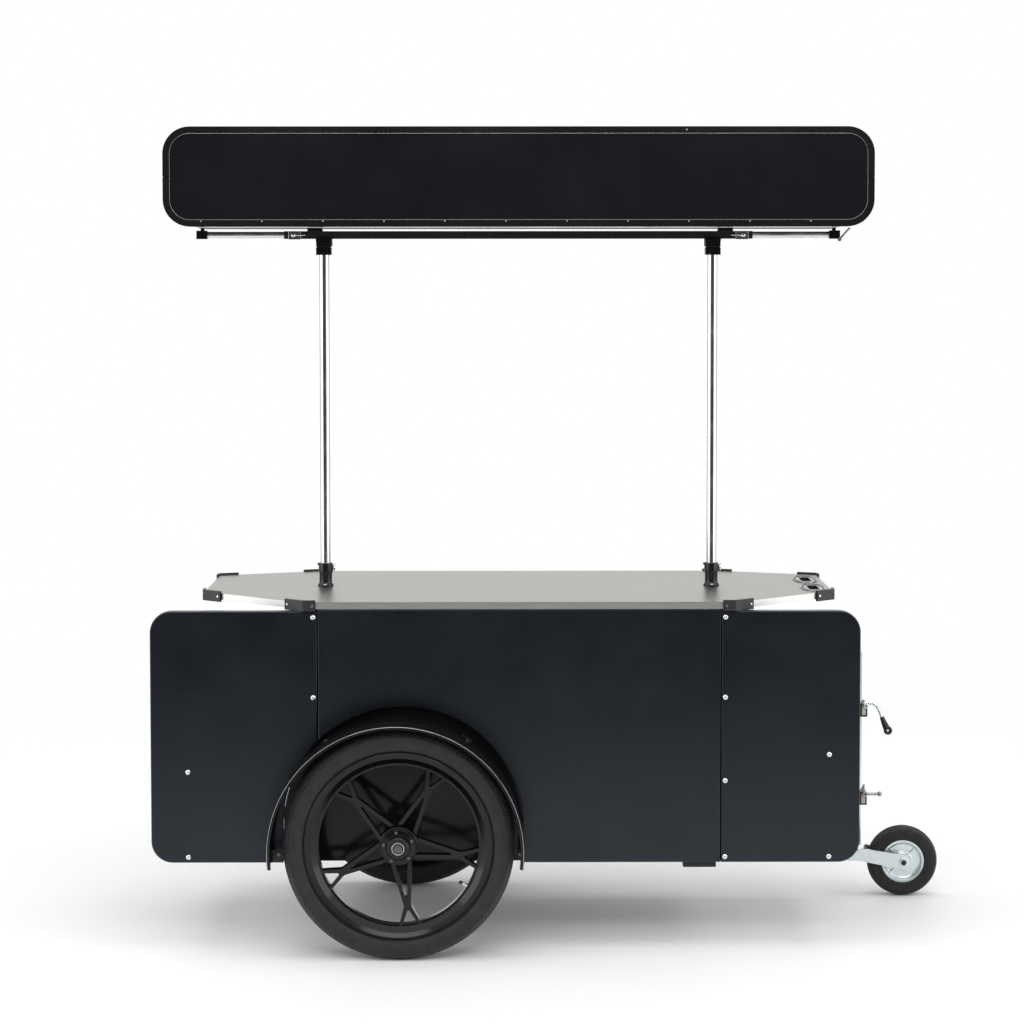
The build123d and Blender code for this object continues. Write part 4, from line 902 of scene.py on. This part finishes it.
# ---- jockey wheel --------------------------------------------------------------------------------
JOCKEY = Vector((0.983, 0.264, 0.100))
JOCKEY_RIM = [  # sideways, radius, both in millimetres
    (24, 7), (24, 15), (22.5, 16.5), (14, 21), (9.5, 26), (8, 30), (8, 46.5), (10, 51), (16.5, 53),
    (18.2, 55), (19, 59.5), (20, 60.4), (-20, 60.4), (-19, 59.5), (-18.2, 55), (-16.5, 53),
    (-10, 51), (-8, 46.5), (-8, 30), (-9.5, 26), (-14, 21), (-22.5, 16.5), (-24, 15), (-24, 7),
]
JOCKEY_TYRE_HALF = [  # as for the road tyres
    (0, 100, 0), (3, 99.8, 0), (3.5, 98.4, 0), (5.3, 98.3, 0), (5.8, 99.3, 0), (9, 98.8, 1),
    (14, 97.6, 1), (18.5, 94.9, 1), (21.4, 92.2, 0), (22.1, 90.4, 0), (23.1, 90, 0), (24.3, 86, 0),
    (24.9, 82, 0), (24.9, 75, 0), (24.5, 71.6, 0), (23.7, 71, 0), (24.4, 70, 0), (24.9, 67, 0),
    (23.8, 63.5, 0), (20.6, 60.7, 0), (0, 60.6, 0),
]
JOCKEY_BARS = 72
JOCKEY_GROOVE = 1.3
JOCKEY_SKEW = 0.004
RIB_DEGREES = (45, 135, 225, 315)
RIB_LOW = (0.027, -0.0022)  # outwards from the axle, sideways
RIB_HIGH = (0.0505, 0.0022)
RIB_Y = (7, 11.5)  # millimetres from the wheel's middle plane, on both sides
AXLE_ENDS = ((0.230, -1), (0.298, 1))  # Y of the fork's outer face, way out
FORK_WASHER = [(0, 0.0062), (0, 0.0120), (0.0016, 0.0124), (0.0022, 0.0118), (0.0022, 0.0062)]
AXLE_CAP = [(0.0022, 0.0088), (0.0050, 0.0086), (0.0066, 0.0072), (0.0074, 0.0050), (0.0077, 0.0020)]
CLAMP_PAD_X = (0.8615, 0.8725)
CLAMP_PAD_Y = (0.2275, 0.2290)
CLAMP_PAD_Z = ((0.271, 0.298), (0.5235, 0.5505))

rim_parts = [lathe([mm(*p) for p in rounded(JOCKEY_RIM, 1, 2)], JOCKEY, (0, -1, 0), 128)]
for degrees in RIB_DEGREES:
    turn = Matrix.Translation(JOCKEY) @ Matrix.Rotation(math.radians(degrees), 4, "Y")
    for way in (-1, 1):
        y_low, y_high = sorted(mm(way * RIB_Y[0], way * RIB_Y[1]))
        rib = block((RIB_LOW[0], y_low, RIB_LOW[1]), (RIB_HIGH[0], y_high, RIB_HIGH[1]), 0.0010)
        rim_parts.append(placed(rib, turn))
piece("jockey_rim_dished", joined(*rim_parts), "jockey_wheel", "zinc", ["jockey_rim"])

tyre_rubber("jockey_tread", JOCKEY, (0.016, 0.016, 0.0165), ring_pitch=0.004, tread_radius=0.0925)
jockey_tread = tread_tyre(
    JOCKEY_TYRE_HALF, JOCKEY_BARS, JOCKEY_GROOVE, JOCKEY_SKEW, JOCKEY, (0, -1, 0), steps=6,
)
piece("jockey_tyre_ribbed", jockey_tread, "jockey_wheel", "tyre_rubber", ["jockey_tyre"], "jockey_tread")

caps = []
washers = []
for y, way in AXLE_ENDS:
    washers.append(lathe(FORK_WASHER, (JOCKEY.x, y, JOCKEY.z), (0, way, 0), 48))
    caps.append(stand(spindle(AXLE_CAP, 48), (JOCKEY.x, y, JOCKEY.z), (0, way, 0)))
piece("jockey_washers", joined(*washers), "jockey_caster", "zinc")
piece("jockey_caps", joined(*caps), "jockey_caster", "black_plastic")

pads = []
for z_low, z_high in CLAMP_PAD_Z:
    low = (CLAMP_PAD_X[0], CLAMP_PAD_Y[0], z_low)
    high = (CLAMP_PAD_X[1], CLAMP_PAD_Y[1], z_high)
    pads.append(block(low, high, 0.0004))
piece("clamp_pads", joined(*pads), "cart", "black_rubber", finish="pad_cream")


# ---- upper clamp lever ---------------------------------------------------------------------------
LEVER_Y = 0.222
LEVER_PIVOT = (0.871, LEVER_Y, 0.551)
LEVER_BAR = [  # X and Z in millimetres
    (866, 557.5), (880, 558.5), (892, 557.5), (901, 552.5), (907.5, 543), (913, 529), (917.6, 517),
    (922, 506),
]
LEVER_BOSS = [(-0.0049, 0.0062), (-0.0044, 0.0070), (0.0044, 0.0070), (0.0049, 0.0062)]
LEVER_GRIP = [(916.5, 520), (922.5, 505), (930, 488)]  # X and Z in millimetres
EYE_CENTRE = (0.9345, 0.4805)
EYE_RADIUS = 0.0074
EYE_BAR_RADIUS = 0.0050


def ribbed(travelled):
    """Radius of the lever's ribbed bar."""
    return 0.0045 + 0.0006 * math.sin(2 * math.pi * travelled / 0.0060)


def swollen(travelled):
    """The grip grows from the bar towards its eye, with a rounded mouth."""
    return min(0.0060 + 0.11 * travelled, 0.0052 + 1.0 * travelled)


def stepped(points, step):
    """The same path with a point at every step."""
    result = []
    for a, b in zip(points, points[1:]):
        count = max(1, round((Vector(b) - Vector(a)).length / step))
        result += [Vector(a).lerp(Vector(b), k / count) for k in range(count)]
    return result + [Vector(points[-1])]


bar_route = [(x / 1000, LEVER_Y, z / 1000) for x, z in LEVER_BAR]
lever_bar = tube_along(stepped(bar_route, 0.0009), ribbed)
lever_boss = stand(spindle(LEVER_BOSS, 48), LEVER_PIVOT, (0, 1, 0))
piece("upper_lever_bar", joined(lever_bar, lever_boss), "upper_clamp_lever", "zinc", ["upper_lever"])

grip_route = [(x / 1000, LEVER_Y, z / 1000) for x, z in LEVER_GRIP]
lever_grip = tube_along(stepped(grip_route, 0.0012), swollen)
eye_x, eye_z = EYE_CENTRE
eye_route = [(eye_x + x, LEVER_Y, eye_z + z) for x, z in circle_outline(EYE_RADIUS, 32)]
lever_eye = tube_along(eye_route, EYE_BAR_RADIUS, closed=True)
grip = joined(lever_grip, lever_eye)
piece("upper_lever_grip_eyed", grip, "upper_clamp_lever", "black_plastic", ["upper_lever_grip"])


# ---- stiffener behind the right wing's free edge -------------------------------------------------
STIFFENER_INSETS = (0.0130, 0.0006)  # of its two sides from the wing's edge
STIFFENER_DEPTH = 0.016
GAP_BELOW = 0.024
GAP_ABOVE = 0.057

wing_low, wing_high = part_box("front_panel_right")
stiffener = block(
    (wing_high.x - STIFFENER_INSETS[0], wing_high.y, wing_low.z + GAP_BELOW),
    (wing_high.x - STIFFENER_INSETS[1], wing_high.y + STIFFENER_DEPTH, wing_high.z - GAP_ABOVE),
    0.0008,
)
piece("wing_stiffener", stiffener, "cart", "panel_black", finish="gloss_black")


# ---- pieces that keep their CAD shape ------------------------------------------------------------
SPECIAL_FINISH = {
    "lower_lever": "dull_steel",
    "fender_bolts": "dark_steel",
    "tie_lever": "satin_chrome",
}
EDGE_ROUNDING = {  # width in metres
    "worktop": 0.0012,
    "corner_bumpers": 0.0032,
    "bumper_screws": 0.0007,
    "grip_cups": 0.0012,
    "front_panel_left": 0.0003,
    "front_panel_middle": 0.0003,
    "front_panel_right": 0.0003,
    "rear_panel": 0.0006,
    "rear_door": 0.0008,
    "hinge_leaves": 0.0006,
    "door_handle": 0.0008,
    "end_panel_left": 0.0005,
    "end_panel_right": 0.0005,
    "wheel_well_panels": 0.0006,
    "chassis_frame": 0.0014,
    "end_frame_left": 0.0014,
    "end_frame_right": 0.0014,
    "foot_block": 0.0020,
    "fender_brackets": 0.0008,
    "fender_bolts": 0.0006,
    "sign_box": 0.0010,
    "sign_trims": 0.0016,
    "sign_faces": 0.0004,
    "roof_rail": 0.0012,
    "arm_clips": 0.0020,
    "arm_fittings": 0.0022,
    "tie_lever": 0.0006,
    "clamp_plate": 0.0010,
    "jockey_clamps": 0.0010,
    "jockey_fork": 0.0010,
    "jockey_stem": 0.0010,
    "jockey_axle": 0.0007,
    "lower_lever": 0.0006,
}
for node, width in EDGE_ROUNDING.items():
    soften(node, width, SPECIAL_FINISH.get(node))

for node, obj in NODES.items():
    slot = SLOT_OF[node]
    obj.data.materials.clear()
    obj.data.materials.append(MATERIALS["jockey_tread" if slot == "tyre_rubber" else slot])
    obj.data.shade_smooth()


# ---- floor, light and camera ---------------------------------------------------------------------
def studio_floor(radius):
    """A pale floor that fades out at its rim."""
    mesh = bpy.data.meshes.new("studio_floor")
    points = [(x, y, 0) for x, y in circle_outline(radius, 96)]
    mesh.from_pydata(points, [], [tuple(range(len(points)))])
    paint = Finish("studio_floor", (0.82, 0.82, 0.82), 0.55, Specular_IOR_Level=0.2)
    paint.tinted(paint.noise(0.5, 2), (0.81, 0.81, 0.81))
    away = paint.node("ShaderNodeVectorMath", {0: paint.place}, operation="LENGTH").outputs["Value"]
    fade = paint.stretched(away, 1.0, 0.0, radius * 0.55, radius * 0.98)
    paint.link(fade, paint.shader.inputs["Alpha"])
    mesh.materials.append(paint.material)
    floor = bpy.data.objects.new("studio_floor", mesh)
    bpy.context.scene.collection.objects.link(floor)


WORLD_FILL = 1.4  # strength of the surroundings as a light
WALL_LEVELS = {  # brightness by direction, from the customer's side to the seller's
    -1.0: 0.035, -0.87: 0.045, -0.72: 0.75, -0.5: 1.0, 0.1: 1.0, 0.32: 0.30, 0.72: 0.30, 0.9: 0.95,
    1.0: 1.0,
}


def studio_world():
    """White to the camera; as light and in reflections, bright walls with darker stretches."""
    world = bpy.data.worlds.new("studio")
    bpy.context.scene.world = world
    world.use_nodes = True
    nodes = world.node_tree.nodes
    links = world.node_tree.links
    direction = nodes.new("ShaderNodeTexCoord").outputs["Generated"]
    split = nodes.new("ShaderNodeSeparateXYZ")
    links.new(direction, split.inputs[0])
    front_to_back = nodes.new("ShaderNodeMapRange")
    front_to_back.inputs["From Min"].default_value = -1
    links.new(split.outputs["Y"], front_to_back.inputs["Value"])
    wall = nodes.new("ShaderNodeValToRGB")
    ramp = wall.color_ramp
    for y, level in WALL_LEVELS.items():
        stop = ramp.elements.new((y + 1) / 2)
        stop.color = (level, level, level * 1.01, 1)
    ramp.elements.remove(ramp.elements[0])
    ramp.elements.remove(ramp.elements[-1])
    links.new(front_to_back.outputs[0], wall.inputs[0])
    seen = nodes.new("ShaderNodeLightPath").outputs["Is Camera Ray"]
    mix = nodes.new("ShaderNodeMix")
    mix.data_type = "RGBA"
    links.new(seen, mix.inputs[0])
    links.new(wall.outputs[0], mix.inputs[6])
    mix.inputs[7].default_value = (1, 1, 1, 1)
    links.new(mix.outputs[2], nodes["Background"].inputs["Color"])
    fill = nodes.new("ShaderNodeMix")
    fill.inputs[2].default_value = WORLD_FILL
    fill.inputs[3].default_value = 1.0
    links.new(seen, fill.inputs[0])
    links.new(fill.outputs[0], nodes["Background"].inputs["Strength"])


def soft_light(name, at, target, width, height, watts):
    """A rectangular lamp that faces a target."""
    light = bpy.data.lights.new(name, "AREA")
    light.shape = "RECTANGLE"
    light.size = width
    light.size_y = height
    light.energy = watts
    obj = bpy.data.objects.new(name, light)
    obj.location = at
    obj.rotation_euler = (Vector(target) - Vector(at)).to_track_quat("-Z", "Y").to_euler()
    bpy.context.scene.collection.objects.link(obj)


def camera(at, pitch_deg, yaw_deg, roll_deg, lens, shift):
    """A camera looking along +Y, tipped down by its pitch and turned towards +X by its yaw."""
    data = bpy.data.cameras.new("camera")
    data.lens = lens
    data.sensor_width = 36
    data.shift_y = shift
    obj = bpy.data.objects.new("camera", data)
    tip = Matrix.Rotation(math.radians(90 - pitch_deg), 4, "X")
    turn = Matrix.Rotation(math.radians(-yaw_deg), 4, "Z")
    roll = Matrix.Rotation(math.radians(-roll_deg), 4, "Z")
    obj.matrix_world = Matrix.Translation(at) @ turn @ tip @ roll
    bpy.context.scene.collection.objects.link(obj)
    bpy.context.scene.camera = obj


studio_floor(radius=4.2)
studio_world()
soft_light("overhead", (0, 0.2, 4.6), (0, 0, 0), width=5.4, height=3.6, watts=80)
soft_light("front_high", (0, -5.2, 4.6), (0, 0, 0.7), width=5.0, height=1.8, watts=110)
soft_light("left_side", (-4.8, -2.0, 1.6), (0, 0, 0.6), width=2.4, height=2.4, watts=28)
soft_light("right_side", (4.8, -2.0, 1.6), (0, 0, 0.6), width=2.4, height=2.4, watts=28)
camera(
    at=(-0.155, -6.841, 1.779), pitch_deg=3.131, yaw_deg=0.194, roll_deg=0.035, lens=88.35, shift=-0.1,
)
bpy.context.scene.view_settings.view_transform = "Standard"
